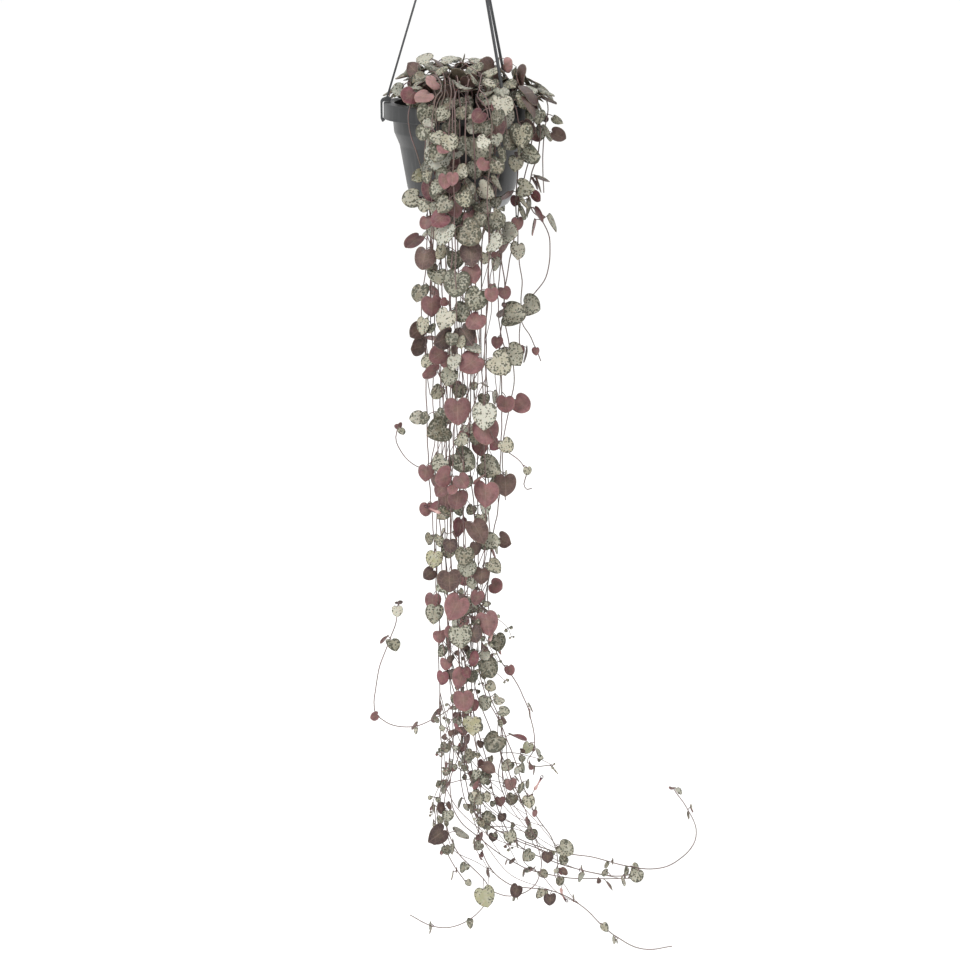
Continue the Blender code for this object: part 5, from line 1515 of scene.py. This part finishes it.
extra = add_mound(118)
print("over the soil", len(extra))

# %% [markdown]
# ## Opposite pairs on the stems
# Down the stems the leaves come in pairs at the nodes and turn away from the bundle towards the light. The
# plans give for each stretch how far apart the nodes are, how many pairs of leaves to add at most, their
# widths, and how many show their undersides.

# %% Opposite pairs on the stems
def node_spots(test, step):
    """Places along the stems that pass the test, about a step apart, in a mixed order."""
    spots = []
    for s, course in enumerate(fine_courses):
        since = rng.uniform(0, step)
        for a, b in zip(course, course[1:]):
            since += (b - a).length
            if since > step and test(b):
                spots.append((s, b))
                since = rng.uniform(-0.3, 0.3) * step
    rng.shuffle(spots)
    return spots


def bundle_axis(z):
    """The middle of the hanging bundle at a height."""
    near = [p for _, p in stem_points(lambda p: abs(p.z - z) < 14 and off_axis(p) > 60)]
    return sum(near, Vector()) / len(near) if near else Vector((0, -70, z))


def add_outward_pairs(test, step, limit, sizes, under_share):
    """Pairs of leaves at stem nodes, each facing out of the bundle and hanging a little."""
    found, centres = [], {}
    for s, root in node_spots(test, step):
        if len(found) >= limit:
            break
        key = round(root.z / 20)
        if key not in centres:
            centres[key] = bundle_axis(key * 20.0)
        out = Vector((root.x - centres[key].x, (root.y - centres[key].y) * 1.6 - 6.0, 0))
        if root.y > 20 or root.z > -4:
            out = Vector((root.x, root.y, 0))
        turn = rng.choice((-1, 1)) * rng.uniform(0.5, 1.5)
        for half in (turn, -turn):
            width = rng.uniform(*sizes)
            for attempt in range(5):
                ahead = polar(math.atan2(out.y, out.x) + half + rng.gauss(0, 0.3 + 0.15 * attempt))
                size = width * (1 - 0.05 * attempt)
                target = root + ahead * (size * rng.uniform(0.45, 0.85))
                target -= Vector((0, 0, size * rng.uniform(0.1, 0.6)))
                face = unit(out) * 1.3 + ahead * 0.3
                face += Vector((rng.gauss(0, 0.4), rng.gauss(0, 0.3), rng.uniform(0.0, 0.7)))
                face, tone = turned(face, under_share, "pprbpd", "ggmmcoo")
                if try_leaf(reach_leaf(s, root, target, size, tone, face, rng), found):
                    break
    return found


# Part, test, distance between nodes, most leaves, widths, share of undersides
for name, *plan in [
    ("pot front", lambda p: -98 < p.z < 6 and p.y < -40 and p.x < 62, 15, 85, (12, 18), 0.15),
    ("pot sides", lambda p: -98 < p.z < 6 and off_axis(p) > 68 and (p.y >= -40 or p.x >= 62), 20, 40,
        (11, 17), 0.2),
    ("upper length", lambda p: -330 < p.z <= -98, 27, 34, (10.5, 16.0), 0.36),
    ("lower length", lambda p: -560 < p.z <= -330, 30, 46, (9.5, 14.5), 0.34),
    ("tips", lambda p: p.z <= -560, 20, 140, (5.5, 11.0), 0.12),
]:
    more = add_outward_pairs(*plan)
    extra += more
    print(name, len(more))

# %% Young side shoots low down
def strays(shoot, own):
    """True if a shoot would leave the bundle as seen from the front."""
    others = [p for s, p in stem_points(lambda p: p.z < -400 and p.y < 0) if s != own]
    return any(min(math.hypot(p.x - q.x, p.z - q.z) for q in others) > 9.0 for p in shoot[::4])


def add_shoot_leaves(s, shoot, found):
    """Pairs of tiny leaves along a shoot, smaller towards its tip."""
    along, last = 0.0, len(shoot) - 1
    for i in range(1, len(shoot)):
        along += (shoot[i] - shoot[i - 1]).length
        if along < 17 and i < last:
            continue
        along = 0.0
        ahead = unit(shoot[i] - shoot[i - 1])
        sideways = unit(ahead.cross(Vector((0, 1, 0))) + Vector((0, rng.gauss(0, 0.6), 0)))
        for half in (1, -1):
            width = rng.uniform(6.0, 9.5) * (1.0 - 0.65 * i / last)
            target = shoot[i] + sideways * (half * width * 0.75) + ahead * (width * 0.3)
            face = Vector((rng.gauss(0, 0.4), -1.0, rng.gauss(0.2, 0.4)))
            face, tone = turned(face, 0.25, "pbb", "gmoog")
            try_leaf(reach_leaf(s, shoot[i], target, width, tone, face, rng), found)


def grow_side_shoots(limit, found):
    """Thin young shoots with tiny leaves, branching from the lower stems."""
    made = 0
    for s, root in node_spots(lambda p: p.z < -430, 60):
        path, heading = [root], Vector((rng.uniform(-1.1, 1.3), rng.gauss(0, 0.3), rng.uniform(-0.9, 0.5)))
        for _ in range(rng.randint(3, 6)):
            heading = unit(heading + Vector((rng.gauss(0, 0.25), rng.gauss(0, 0.12), -0.22)))
            path.append(path[-1] + heading * rng.uniform(11, 17))
        shoot = smooth_course(path, 3.0)
        if not in_box(shoot) or max(abs(p.y - root.y) for p in shoot) > 22 or strays(shoot, s):
            continue
        made += 1
        shoots[s].append(shoot)
        for k in range(0, len(shoot) - 1, 4):
            crowd.add(*tube(shoot[k:k + 5], 0.6, 3), s)
        add_shoot_leaves(s, shoot, found)
        if made == limit:
            break
    return made


print("side shoots", grow_side_shoots(30, extra))
leaves += extra

# %% [markdown]
# ## Leaves in the shade
# A leaf that sits inside the bundle, behind others, gets darker tints than one in the open. This is painted
# shade, standing in for the shadow of the leaves outside it. Counting the leaves that lie outside it tells how
# deep it sits.

# %% Leaves in the shade
def painted_shade_share(middle, near):
    """Painted shade: near 1 for a leaf in the open, less for one behind the leaves outside it."""
    if middle.z > -2:
        out = Vector((middle.x * 0.3, middle.y * 0.3 - 12, 30))
    elif middle.z > -98:
        out = Vector((middle.x, middle.y, 0))
    else:
        centre = sum(near, Vector()) / len(near)
        out = Vector((middle.x - centre.x, middle.y - centre.y - 4, 0))
    outside = sum(1 for q in near if (q - middle).dot(unit(out)) > 4.0)
    return max(0.62, 1.0 - 0.065 * outside)


middles = [blade_middle(leaf, 0.4) for leaf in leaves]
tree = search_tree(middles)
for leaf, middle in zip(leaves, middles):
    leaf["open"] = painted_shade_share(middle, [middles[n] for _, n, _ in tree.find_range(middle, 26.0)])
print("mean openness", round(sum(leaf["open"] for leaf in leaves) / len(leaves), 3))

# %% [markdown]
# ## Dress every stem
# Now each stem gets its tube, its runners, its stalks and its leaves in one mesh, which stands for the
# solid of the same name and rides on the one body.

# %% Dress every stem
def dress_strand(s, name):
    rng, build, course = random.Random(700 + s), Build(), fine_courses[s]
    build.add(*tube(course, 0.60, 6, 0.48), 2)
    for shoot in shoots[s]:
        build.add(*tube(shoot, 0.44, 5, 0.28), 2)
    rooted = course + [p for shoot in shoots[s] for p in shoot]
    for leaf in leaves:
        if leaf["owner"] == s:
            add_stalk(build, leaf, min(rooted, key=lambda p: (p - leaf["root"]).length_squared))
            add_fine_leaf(build, leaf, rng)
    return settle(build.object(name + "_fine", plant_materials), "leaf_green", name)


dressed = [dress_strand(s, name) for s, name in enumerate(strand_names)]
print("dressed", len(dressed), "stems,", sum(len(piece.data.polygons) for piece in dressed), "faces")

# %% [markdown]
# ## Flowers and little tubers
# The plant carries a few lantern flowers: dusty pink tubes with a swollen foot and five dark petals that
# meet at the tip. Bead-like tubers sit where a stem has rested. The skin of a flower is thin and matt, pale
# at the foot and dark at the petals, with fine stripes along the tube.

# %% Skin of a flower
FLOWER_LENGTH, STRIPE_MM = 14.0, 0.9

flower_skin, tree = empty_material("lantern_flower_skin")
place = add(tree, "Attribute", attribute_name="leaf_mm")
split = add(tree, "SeparateXYZ", {"Vector": (place, "Vector")})
along = add(tree, "Math", {0: (split, "X"), 1: FLOWER_LENGTH}, operation="DIVIDE")
length = add(tree, "ValToRGB", {"Fac": (along, 0)}, [(0.0, linear("B98E86")),
    (0.25, linear("C9A6A0")), (0.72, linear("B08581")), (0.88, linear("5A3038")), (1.0, linear("3E2229"))])
stripes = add(tree, "TexNoise", {"Vector": (place, "Vector"), "Scale": 1 / STRIPE_MM, "Detail": 2.0})
blush = add(tree, "ValToRGB", {"Fac": (stripes, "Fac")}, [(0.45, 0.0), (0.7, 0.35)])
colour = add(tree, "Mix", {0: (blush, "Color"), 6: (length, "Color"), 7: linear("8E5F62")}, data_type="RGBA")
matt = add(tree, "ValToRGB", {"Fac": (stripes, "Fac")}, [(0.3, 0.48), (0.7, 0.62)])
bump = add(tree, "Bump", {"Height": (stripes, "Fac"), "Strength": 0.2, "Distance": 0.2 * MM})
shader = add(tree, "BsdfPrincipled", {"Base Color": (colour, 2), "Roughness": (matt, "Color"),
    "Normal": (bump, "Normal")})
add(tree, "OutputMaterial", {"Surface": (shader, "BSDF")})
print(flower_skin.name, len(tree.nodes), "nodes")

# %% Shape of a flower
FLOWER_OUTLINE = [(0.0, 0.35), (0.9, 0.9), (2.2, 1.75), (3.8, 1.55), (5.4, 0.95), (8.5, 0.80), (11.5, 0.95),
    (12.8, 1.15), (13.4, 1.05)]


def nearest_stem(target):
    return min((p for _, p in stem_points(lambda p: p.z < -20)), key=lambda p: (p - target).length)


def add_flower(build, base, lean):
    """A lantern flower at the end of its stalk: a bent tube and five petals that meet at the tip."""
    root = nearest_stem(base)
    stalk = smooth_course([root, root.lerp(base, 0.5) + Vector((0, 0, -1.5)), base], 1.5)
    build.add(*tube(stalk, 0.30, 6, 0.32), 1)
    bend = unit(Vector((math.cos(lean), -0.25, math.sin(lean) * 0.6)))
    ahead, p, last, sides = unit(base - root + Vector((0, -2, 0))), base, 0.0, 12
    points, place, across = [], [], None
    for x, r in FLOWER_OUTLINE:
        ahead = unit(ahead + bend * 0.10 + Vector((0, 0, 0.12)))
        p, last = p + ahead * (x - last), x
        across = unit(ahead.orthogonal()) if across is None else across
        across = unit(across - ahead * across.dot(ahead))
        other = ahead.cross(across)
        points += ring(p, across, other, r, sides)
        place += [(x, k * 0.4, base.x) for k in range(sides)]
    rings = len(FLOWER_OUTLINE)
    build.add(points, caps(rings, sides) + ring_faces(rings, sides), 0, place=place)
    for k in range(5):
        a = 2 * math.pi * k / 5
        out = across * math.cos(a) + other * math.sin(a)
        bends = ((r * 0.8, 0.0), (r * 1.5, 1.2), (r * 1.1, 2.6), (0.25, 3.7))
        petal = smooth_course([p + out * away + ahead * along for away, along in bends], 0.7)
        points, faces = tube(petal, 0.34, 5, 0.18)
        build.add(points, faces, 0, place=[(FLOWER_LENGTH, 0.0, base.x)] * len(points))


print("flower outline", len(FLOWER_OUTLINE), "rings")

# %% A tuber
TUBER_LUMP = 0.16


def icosphere(cuts):
    """Points and faces of a ball of radius 1."""
    bm = bmesh.new()
    bmesh.ops.create_icosphere(bm, subdivisions=cuts, radius=1.0)
    shape = [v.co.copy() for v in bm.verts], [tuple(v.index for v in f.verts) for f in bm.faces]
    bm.free()
    return shape


def add_tuber(build, centre, size):
    points, faces = icosphere(3)
    lumps = [1.0 + TUBER_LUMP * noise.noise(p * 1.7 + centre * 0.3) for p in points]
    build.add([centre + Vector((p.x, p.y, p.z * 0.92)) * (size * lump) for p, lump in zip(points, lumps)],
        faces, 1)


print("a tuber is a bead with lumps of up to", TUBER_LUMP, "of its radius")

# %% Place the flowers and tubers
# Pixel across, pixel down, depth and lean of each flower; pixels and radius of each tuber
FLOWERS = [(558, 897, -60, 0.4), (496, 640, -95, 2.2), (441, 512, -95, 3.6), (533, 790, -80, 1.1)]
TUBERS = [(523, 311, 2.4), (463, 440, 1.9), (478, 590, 2.1), (447, 660, 1.6), (503, 742, 1.8), (470, 805, 1.7),
    (540, 240, 1.8)]
TUBER_DEPTH = -80


def unproject(px, py, y):
    """The point in millimetres at depth y that the camera sees at a pixel."""
    tilt = math.radians(CAMERA_TILT)
    across, up = (px - FRAME_PIXELS / 2) / FOCAL_PIXELS, (FRAME_PIXELS / 2 - py) / FOCAL_PIXELS
    ahead = Vector((across, math.cos(tilt) + up * math.sin(tilt), up * math.cos(tilt) - math.sin(tilt)))
    eye = Vector((camera.location.x, -CAMERA_BACK, CAMERA_OVER_RIM)) / MM
    return eye + ahead * ((y - eye.y) / ahead.y)


build = Build()
for px, py, y, lean in FLOWERS:
    base = unproject(px, py, y)
    root = nearest_stem(base)
    out = unit(base - root + Vector((0, -3, 0)))
    add_flower(build, root + out * min(11.0, (base - root).length + 3.0), lean)
for px, py, size in TUBERS:
    add_tuber(build, nearest_stem(unproject(px, py, TUBER_DEPTH)), size)
flowers = settle(build.object("flowers_and_tubers", [flower_skin, vine_skin]), "leaf_green")
print("flowers and tubers", len(flowers.data.polygons), "faces")

# %% [markdown]
# ## Moulded polypropylene
# The pot, the tray and the hanger are injection-moulded polypropylene. The steel mould was etched, so the
# skin has a fine satin grain, which spreads the light into a soft, broad sheen that grows towards the edges
# of the round wall. Handling and dried water leave faint clouds, and lighter streaks painted down the wall
# stand in for sheen. The three differ only in colour: almost black for the pot, mid grey for the tray, and
# dark grey for the hanger.

# %% Moulded polypropylene
CLOUD_SIZE_MM, STREAK_ACROSS_MM, STREAK_DOWN_MM = 22.0, 3.8, 55.0
MOULD_GRAIN_MM = 0.35  # a real etched grain is nearer 0.1 mm, and this one still only softens the sheen
POLYPROPYLENE_IOR = 1.49


def moulded_polypropylene(name, body, cloud, smooth, rough):
    material, tree = empty_material(name)
    where = add(tree, "TexCoord")
    clouds = add(tree, "TexNoise", {"Vector": (where, "Object"), "Scale": 1 / (CLOUD_SIZE_MM * MM),
        "Detail": 5.0, "Roughness": 0.6})
    tone = add(tree, "ValToRGB", {"Fac": (clouds, "Fac")}, [(0.35, linear(body)), (0.72, linear(cloud))])
    # Lighter streaks down the wall are painted sheen, mixed into the colour.
    across, down = 1 / (STREAK_ACROSS_MM * MM), 1 / (STREAK_DOWN_MM * MM)
    stretch = add(tree, "Mapping", {"Vector": (where, "Object"), "Scale": (across, across, down)})
    painted_sheen_streaks = add(tree, "TexNoise", {"Vector": (stretch, "Vector"), "Scale": 1.0, "Detail": 3.0})
    marks = add(tree, "ValToRGB", {"Fac": (painted_sheen_streaks, "Fac")}, [(0.56, 0.0), (0.78, 0.10)])
    colour = add(tree, "Mix", {0: (marks, "Color"), 6: (tone, "Color"), 7: linear("8A8A88")}, data_type="RGBA")
    satin = add(tree, "ValToRGB", {"Fac": (clouds, "Fac")}, [(0.3, smooth), (0.7, rough)])
    grain = add(tree, "TexNoise", {"Vector": (where, "Object"), "Scale": 1 / (MOULD_GRAIN_MM * MM),
        "Detail": 2.0})
    bump = add(tree, "Bump", {"Height": (grain, "Fac"), "Strength": 0.25, "Distance": 0.12 * MM})
    shader = add(tree, "BsdfPrincipled", {"Base Color": (colour, 2), "Roughness": (satin, "Color"),
        "Normal": (bump, "Normal"), "IOR": POLYPROPYLENE_IOR})
    add(tree, "OutputMaterial", {"Surface": (shader, "BSDF")})
    return material


pot_plastic = moulded_polypropylene("satin_moulded_polypropylene_black", "1A1B1C", "28292A", 0.30, 0.46)
tray_plastic = moulded_polypropylene("satin_moulded_polypropylene_grey", "77797B", "8A8C8D", 0.34, 0.48)
hanger_plastic = moulded_polypropylene("satin_moulded_polypropylene_dark", "353637", "45464A", 0.34, 0.50)
print("plastics", pot_plastic.name, tray_plastic.name, hanger_plastic.name)

# %% [markdown]
# ## Pot
# The pot has a deep rim band, a stepped collar and a tapering wall, and stands on a flat floor with drain
# holes. A lathe turns one outline about the axis, which is how a moulded pot is drawn too. The outline
# keeps the solid's corners and rounds each of them, because a mould has no sharp edge, and many steps round
# make the wall smooth. The drain holes are real openings, cut through the floor.

# %% Round the corners of an outline
def rounded(outline, radius, closed=True, arc=3):
    """The outline with each corner cut back and rounded by up to the radius."""
    points = [Vector((r, z)) for r, z in outline]
    found = []
    n = len(points)
    for i, p in enumerate(points):
        if not closed and i in (0, n - 1):
            found.append((p.x, p.y))
            continue
        before, after = points[i - 1] - p, points[(i + 1) % n] - p
        cut = min(radius, before.length * 0.42, after.length * 0.42)
        a, b = p + before.normalized() * cut, p + after.normalized() * cut
        for k in range(arc + 1):
            t = k / arc
            q = a * (1 - t) ** 2 + p * (2 * t * (1 - t)) + b * t * t
            found.append((q.x, q.y))
    return found


print("pot outline", len(POT_OUTLINE), "corners,", len(rounded(POT_OUTLINE, 0.9)), "points when rounded")

# %% Cut and join pieces
def carve(obj, cutters, operation="DIFFERENCE"):
    """Cuts or joins the cutters and removes them."""
    group = bpy.data.collections.new("cutters")
    scene.collection.children.link(group)
    for cutter in cutters:
        for holder in list(cutter.users_collection):
            holder.objects.unlink(cutter)
        group.objects.link(cutter)
    modifier = obj.modifiers.new("cut", "BOOLEAN")
    modifier.operation, modifier.operand_type = operation, "COLLECTION"
    modifier.collection, modifier.solver = group, "MANIFOLD"
    graph = bpy.context.evaluated_depsgraph_get()
    shaped = bpy.data.meshes.new_from_object(obj.evaluated_get(graph))
    obj.modifiers.remove(modifier)
    old = obj.data
    obj.data = shaped
    bpy.data.meshes.remove(old)
    for cutter in cutters:
        bpy.data.objects.remove(cutter)
    bpy.data.collections.remove(group)
    return obj


print("cuts and joints use the MANIFOLD solver")

# %% Pot
TURN_STEPS = 144
DRAIN_RADIUS, DRAIN_RING = 3.5, 26.0
POT_CORNER_RADIUS = 0.9

pot = mesh_piece("pot_body", *lathe(rounded(POT_OUTLINE, POT_CORNER_RADIUS), TURN_STEPS), [pot_plastic])
drains = []
for k in range(4):
    angle = math.radians(45 + 90 * k)
    path = [polar(angle, DRAIN_RING, z) for z in (-84, -78)]
    drains.append(mesh_piece("drain", *tube(path, DRAIN_RADIUS, 24), [pot_plastic]))
carve(pot, drains)
settle(pot, "pot_plastic", "pot")
print("pot", len(pot.data.polygons), "faces")

# %% [markdown]
# ## Drip tray
# The tray is a shallow dish that snaps onto the pot's floor with one centre post. It is turned from its
# outline in the same way. The two points on the axis stay sharp, so the outline is rounded in two parts
# around them.

# %% Drip tray
whole = rounded(TRAY_OUTSIDE, 0.7, closed=False) + TRAY_ON_AXIS + rounded(TRAY_INSIDE, 0.5, closed=False)
tray = mesh_piece("tray_dish", *lathe(whole, TURN_STEPS), [tray_plastic])
settle(tray, "tray_plastic", "drip_tray")
print("tray", len(tray.data.polygons), "faces")

# %% [markdown]
# ## Peat, bark and perlite
# The mix is peat and bark crumbs with white perlite. Damp crumbs are dark brown and very rough, so they
# give the eye no shine at all. Perlite is volcanic glass that was heated until it puffed up, so its grains
# are off-white and full of tiny pits.

# %% Peat, bark and perlite
CRUMB_MM, CRUMB_FIBRE_MM, PERLITE_PIT_MM = 2.1, 1.1, 0.7

peat, tree = empty_material("damp_peat_and_bark_crumb")
where = add(tree, "TexCoord")
crumbs = add(tree, "TexVoronoi", {"Vector": (where, "Object"), "Scale": 1 / (CRUMB_MM * MM)})
tone = add(tree, "ValToRGB", {"Fac": (crumbs, "Color")},
    [(0.2, linear("2B2019")), (0.55, linear("433328")), (0.85, linear("5B4838"))])
fibre = add(tree, "TexNoise", {"Vector": (where, "Object"), "Scale": 1 / (CRUMB_FIBRE_MM * MM), "Detail": 4.0})
dull = add(tree, "ValToRGB", {"Fac": (fibre, "Fac")}, [(0.3, 0.88), (0.7, 0.98)])
bump = add(tree, "Bump", {"Height": (fibre, "Fac"), "Strength": 0.8, "Distance": 0.8 * MM})
shader = add(tree, "BsdfPrincipled", {"Base Color": (tone, "Color"), "Roughness": (dull, "Color"),
    "Normal": (bump, "Normal")})
add(tree, "OutputMaterial", {"Surface": (shader, "BSDF")})

perlite, tree = empty_material("expanded_perlite_grain")
where = add(tree, "TexCoord")
pits = add(tree, "TexNoise", {"Vector": (where, "Object"), "Scale": 1 / (PERLITE_PIT_MM * MM), "Detail": 3.0})
tone = add(tree, "ValToRGB", {"Fac": (pits, "Fac")}, [(0.35, linear("C9C5BA")), (0.6, linear("EAE8E2"))])
chalk = add(tree, "ValToRGB", {"Fac": (pits, "Fac")}, [(0.3, 0.80), (0.7, 0.90)])
bump = add(tree, "Bump", {"Height": (pits, "Fac"), "Strength": 0.7, "Distance": 0.4 * MM})
shader = add(tree, "BsdfPrincipled", {"Base Color": (tone, "Color"), "Roughness": (chalk, "Color"),
    "Normal": (bump, "Normal")})
add(tree, "OutputMaterial", {"Surface": (shader, "BSDF")})
print("soil materials", peat.name, perlite.name)

# %% [markdown]
# ## Potting mix
# The soil's top is a disc of rings, raised and lowered by noise at three sizes down to a crumb. Each stem
# goes into a plain hole of its own, cut before the crumbs are scattered over the top.

# %% Top of the potting mix
HOLE_BOTTOM = -23.0


def soil_height(x, y):
    r = math.hypot(x, y)
    place = Vector((x, y, 0.0))
    base = SOIL_LEVEL + 1.6 * (1 - (r / 60) ** 2)
    return (base + 1.1 * noise.noise(place * 0.09) + 0.7 * noise.noise(place * 0.31)
        + 0.35 * noise.noise(place * 0.9))


def fine_soil():
    n, rings = TURN_STEPS, [2.0 + 57.0 * k / 30 for k in range(31)]
    points = [Vector((0.0, 0.0, soil_height(0, 0)))]
    for r in rings:
        for k in range(n):
            x, y = r * math.cos(2 * math.pi * k / n), r * math.sin(2 * math.pi * k / n)
            points.append(Vector((x, y, min(soil_height(x, y), -12.5 if r >= 58 else 0.0))))
    points += [polar(2 * math.pi * k / n, r, z) for r, z in SOIL_SIDES for k in range(n)]
    points.append(Vector((0.0, 0.0, SOIL_SIDES[-1][1])))
    soil = mesh_piece("potting_mix", points, lump_faces(len(rings) + len(SOIL_SIDES), n), [peat, perlite])
    holes = []
    for foot in [course[0] for course in strands]:
        path = [Vector((foot.x, foot.y, z)) for z in (HOLE_BOTTOM, 0.0)]
        holes.append(mesh_piece("hole", *tube(path, 1.5, 10), [peat]))
    return settle(carve(soil, holes), "potting_mix", "soil")


soil = fine_soil()
print("soil", len(soil.data.polygons), "faces")

# %% Crumbs and perlite grains
def crumb(centre, size, rng):
    """A lumpy grain: a small ball of triangles with its points pushed in and out."""
    ball, faces = icosphere(1)
    turn = Matrix.Rotation(rng.uniform(0, 6.28), 3, unit(Vector([rng.gauss(0, 1) for _ in range(3)])))
    shape = Vector((rng.uniform(0.7, 1.3), rng.uniform(0.6, 1.0), rng.uniform(0.5, 0.9)))
    points = []
    for v in ball:
        p = v * (1.0 + rng.uniform(-0.22, 0.22))
        points.append(centre + turn @ Vector((p.x * shape.x, p.y * shape.y, p.z * shape.z)) * size)
    return points, faces


def scatter_grains(count, white_share):
    rng, build, feet = random.Random(31), Build(), [course[0] for course in strands]
    for _ in range(count):
        r, a = 57.0 * math.sqrt(rng.random()), rng.uniform(0, 2 * math.pi)
        x, y = r * math.cos(a), r * math.sin(a)
        if min(math.hypot(x - foot.x, y - foot.y) for foot in feet) < 2.6:
            continue
        size, slot = rng.uniform(0.5, 1.5), int(rng.random() < white_share)
        build.add(*crumb(Vector((x, y, soil_height(x, y) + size * 0.25)), size, rng), slot)
    return settle(build.object("soil_grains", [peat, perlite]), "potting_mix")


grains = scatter_grains(620, 0.34)
print("grains", len(grains.data.polygons), "faces")

# %% [markdown]
# ## Hanger
# Three flat moulded straps run from a small yoke under the hook down to the rim, and each is joined to the
# clip that bends over the rim. Strap and clip start as the same plain shapes as the solids, are made one by
# a Boolean, and get their edges broken by a bevel, because light catches a moulded edge. The yoke is
# turned, and the hook is a round rod swept along its bend. The hook's top is finished plainly, because the
# photograph cuts it off.

# %% Hanger straps
def bevel(obj, width, segments=2, angle=0.5):
    bm = bmesh.new()
    bm.from_mesh(obj.data)
    edges = [e for e in bm.edges if len(e.link_faces) == 2 and e.calc_face_angle(0.0) > angle]
    bmesh.ops.bevel(bm, geom=edges, offset=width * MM, segments=segments, affect="EDGES", clamp_overlap=True)
    bm.to_mesh(obj.data)
    bm.free()
    obj.data.shade_smooth()
    obj.data.set_sharp_from_angle(angle=math.radians(50))
    return obj


def fine_strap(where, angle):
    strap = mesh_piece("strap_" + where, *strap_shape(angle), [hanger_plastic])
    carve(strap, [mesh_piece("clip", *prism(CLIP_OUTLINE, angle, CLIP_WIDTH), [hanger_plastic])], "UNION")
    return settle(bevel(strap, 0.4), "hanger_plastic", "hanger_strap_" + where)


straps = [fine_strap(where, angle) for where, angle in STRAP_ANGLES.items()]
print("straps", [strap.name for strap in straps])

# %% Hook and yoke
HOOK_BEND_RADIUS, HOOK_ROD_RADIUS, HOOK_TIP_RADIUS = 9.6, 1.6, 1.3
YOKE_TOP_Z, YOKE_BOTTOM_Z, YOKE_RADIUS = 213.0, 203.0, 6.0


def hook_path():
    centre_z = RIM_BELOW_HOOK + HOOK_ROD_RADIUS - HOOK_BEND_RADIUS
    path = [Vector((0, 0, YOKE_TOP_Z - 2.0))]
    for k in range(11):
        angle = math.radians(-90 - k * 25)
        path.append(Vector((HOOK_BEND_RADIUS * math.cos(angle), 0,
            centre_z + HOOK_BEND_RADIUS * math.sin(angle))))
    return path


def fine_hook():
    outline = [(2.2, YOKE_TOP_Z), (YOKE_RADIUS, YOKE_TOP_Z - 4.0), (YOKE_RADIUS, YOKE_BOTTOM_Z + 1.5),
        (YOKE_RADIUS - 1.5, YOKE_BOTTOM_Z)]
    outline = rounded(outline, 0.8, closed=False) + [(0.0, YOKE_BOTTOM_Z), (0.0, YOKE_TOP_Z)]
    yoke = mesh_piece("hook_and_yoke", *lathe(outline, 48), [hanger_plastic])
    rod = tube(smooth_course(hook_path(), 1.2), HOOK_ROD_RADIUS, 16, HOOK_TIP_RADIUS)
    carve(yoke, [mesh_piece("rod", *rod, [hanger_plastic])], "UNION")
    top = STRAP_TOP - STRAP_DOWN * 0.4
    slots = [strap_shape(angle, top, top + STRAP_DOWN * 12.0, 0.3) for angle in STRAP_ANGLES.values()]
    carve(yoke, [mesh_piece("slot", *shape, [hanger_plastic]) for shape in slots])
    yoke.data.shade_smooth()
    yoke.data.set_sharp_from_angle(angle=math.radians(40))
    return settle(yoke, "hanger_plastic", "hanger_hook")


hook = fine_hook()
print("hook", len(hook.data.polygons), "faces")
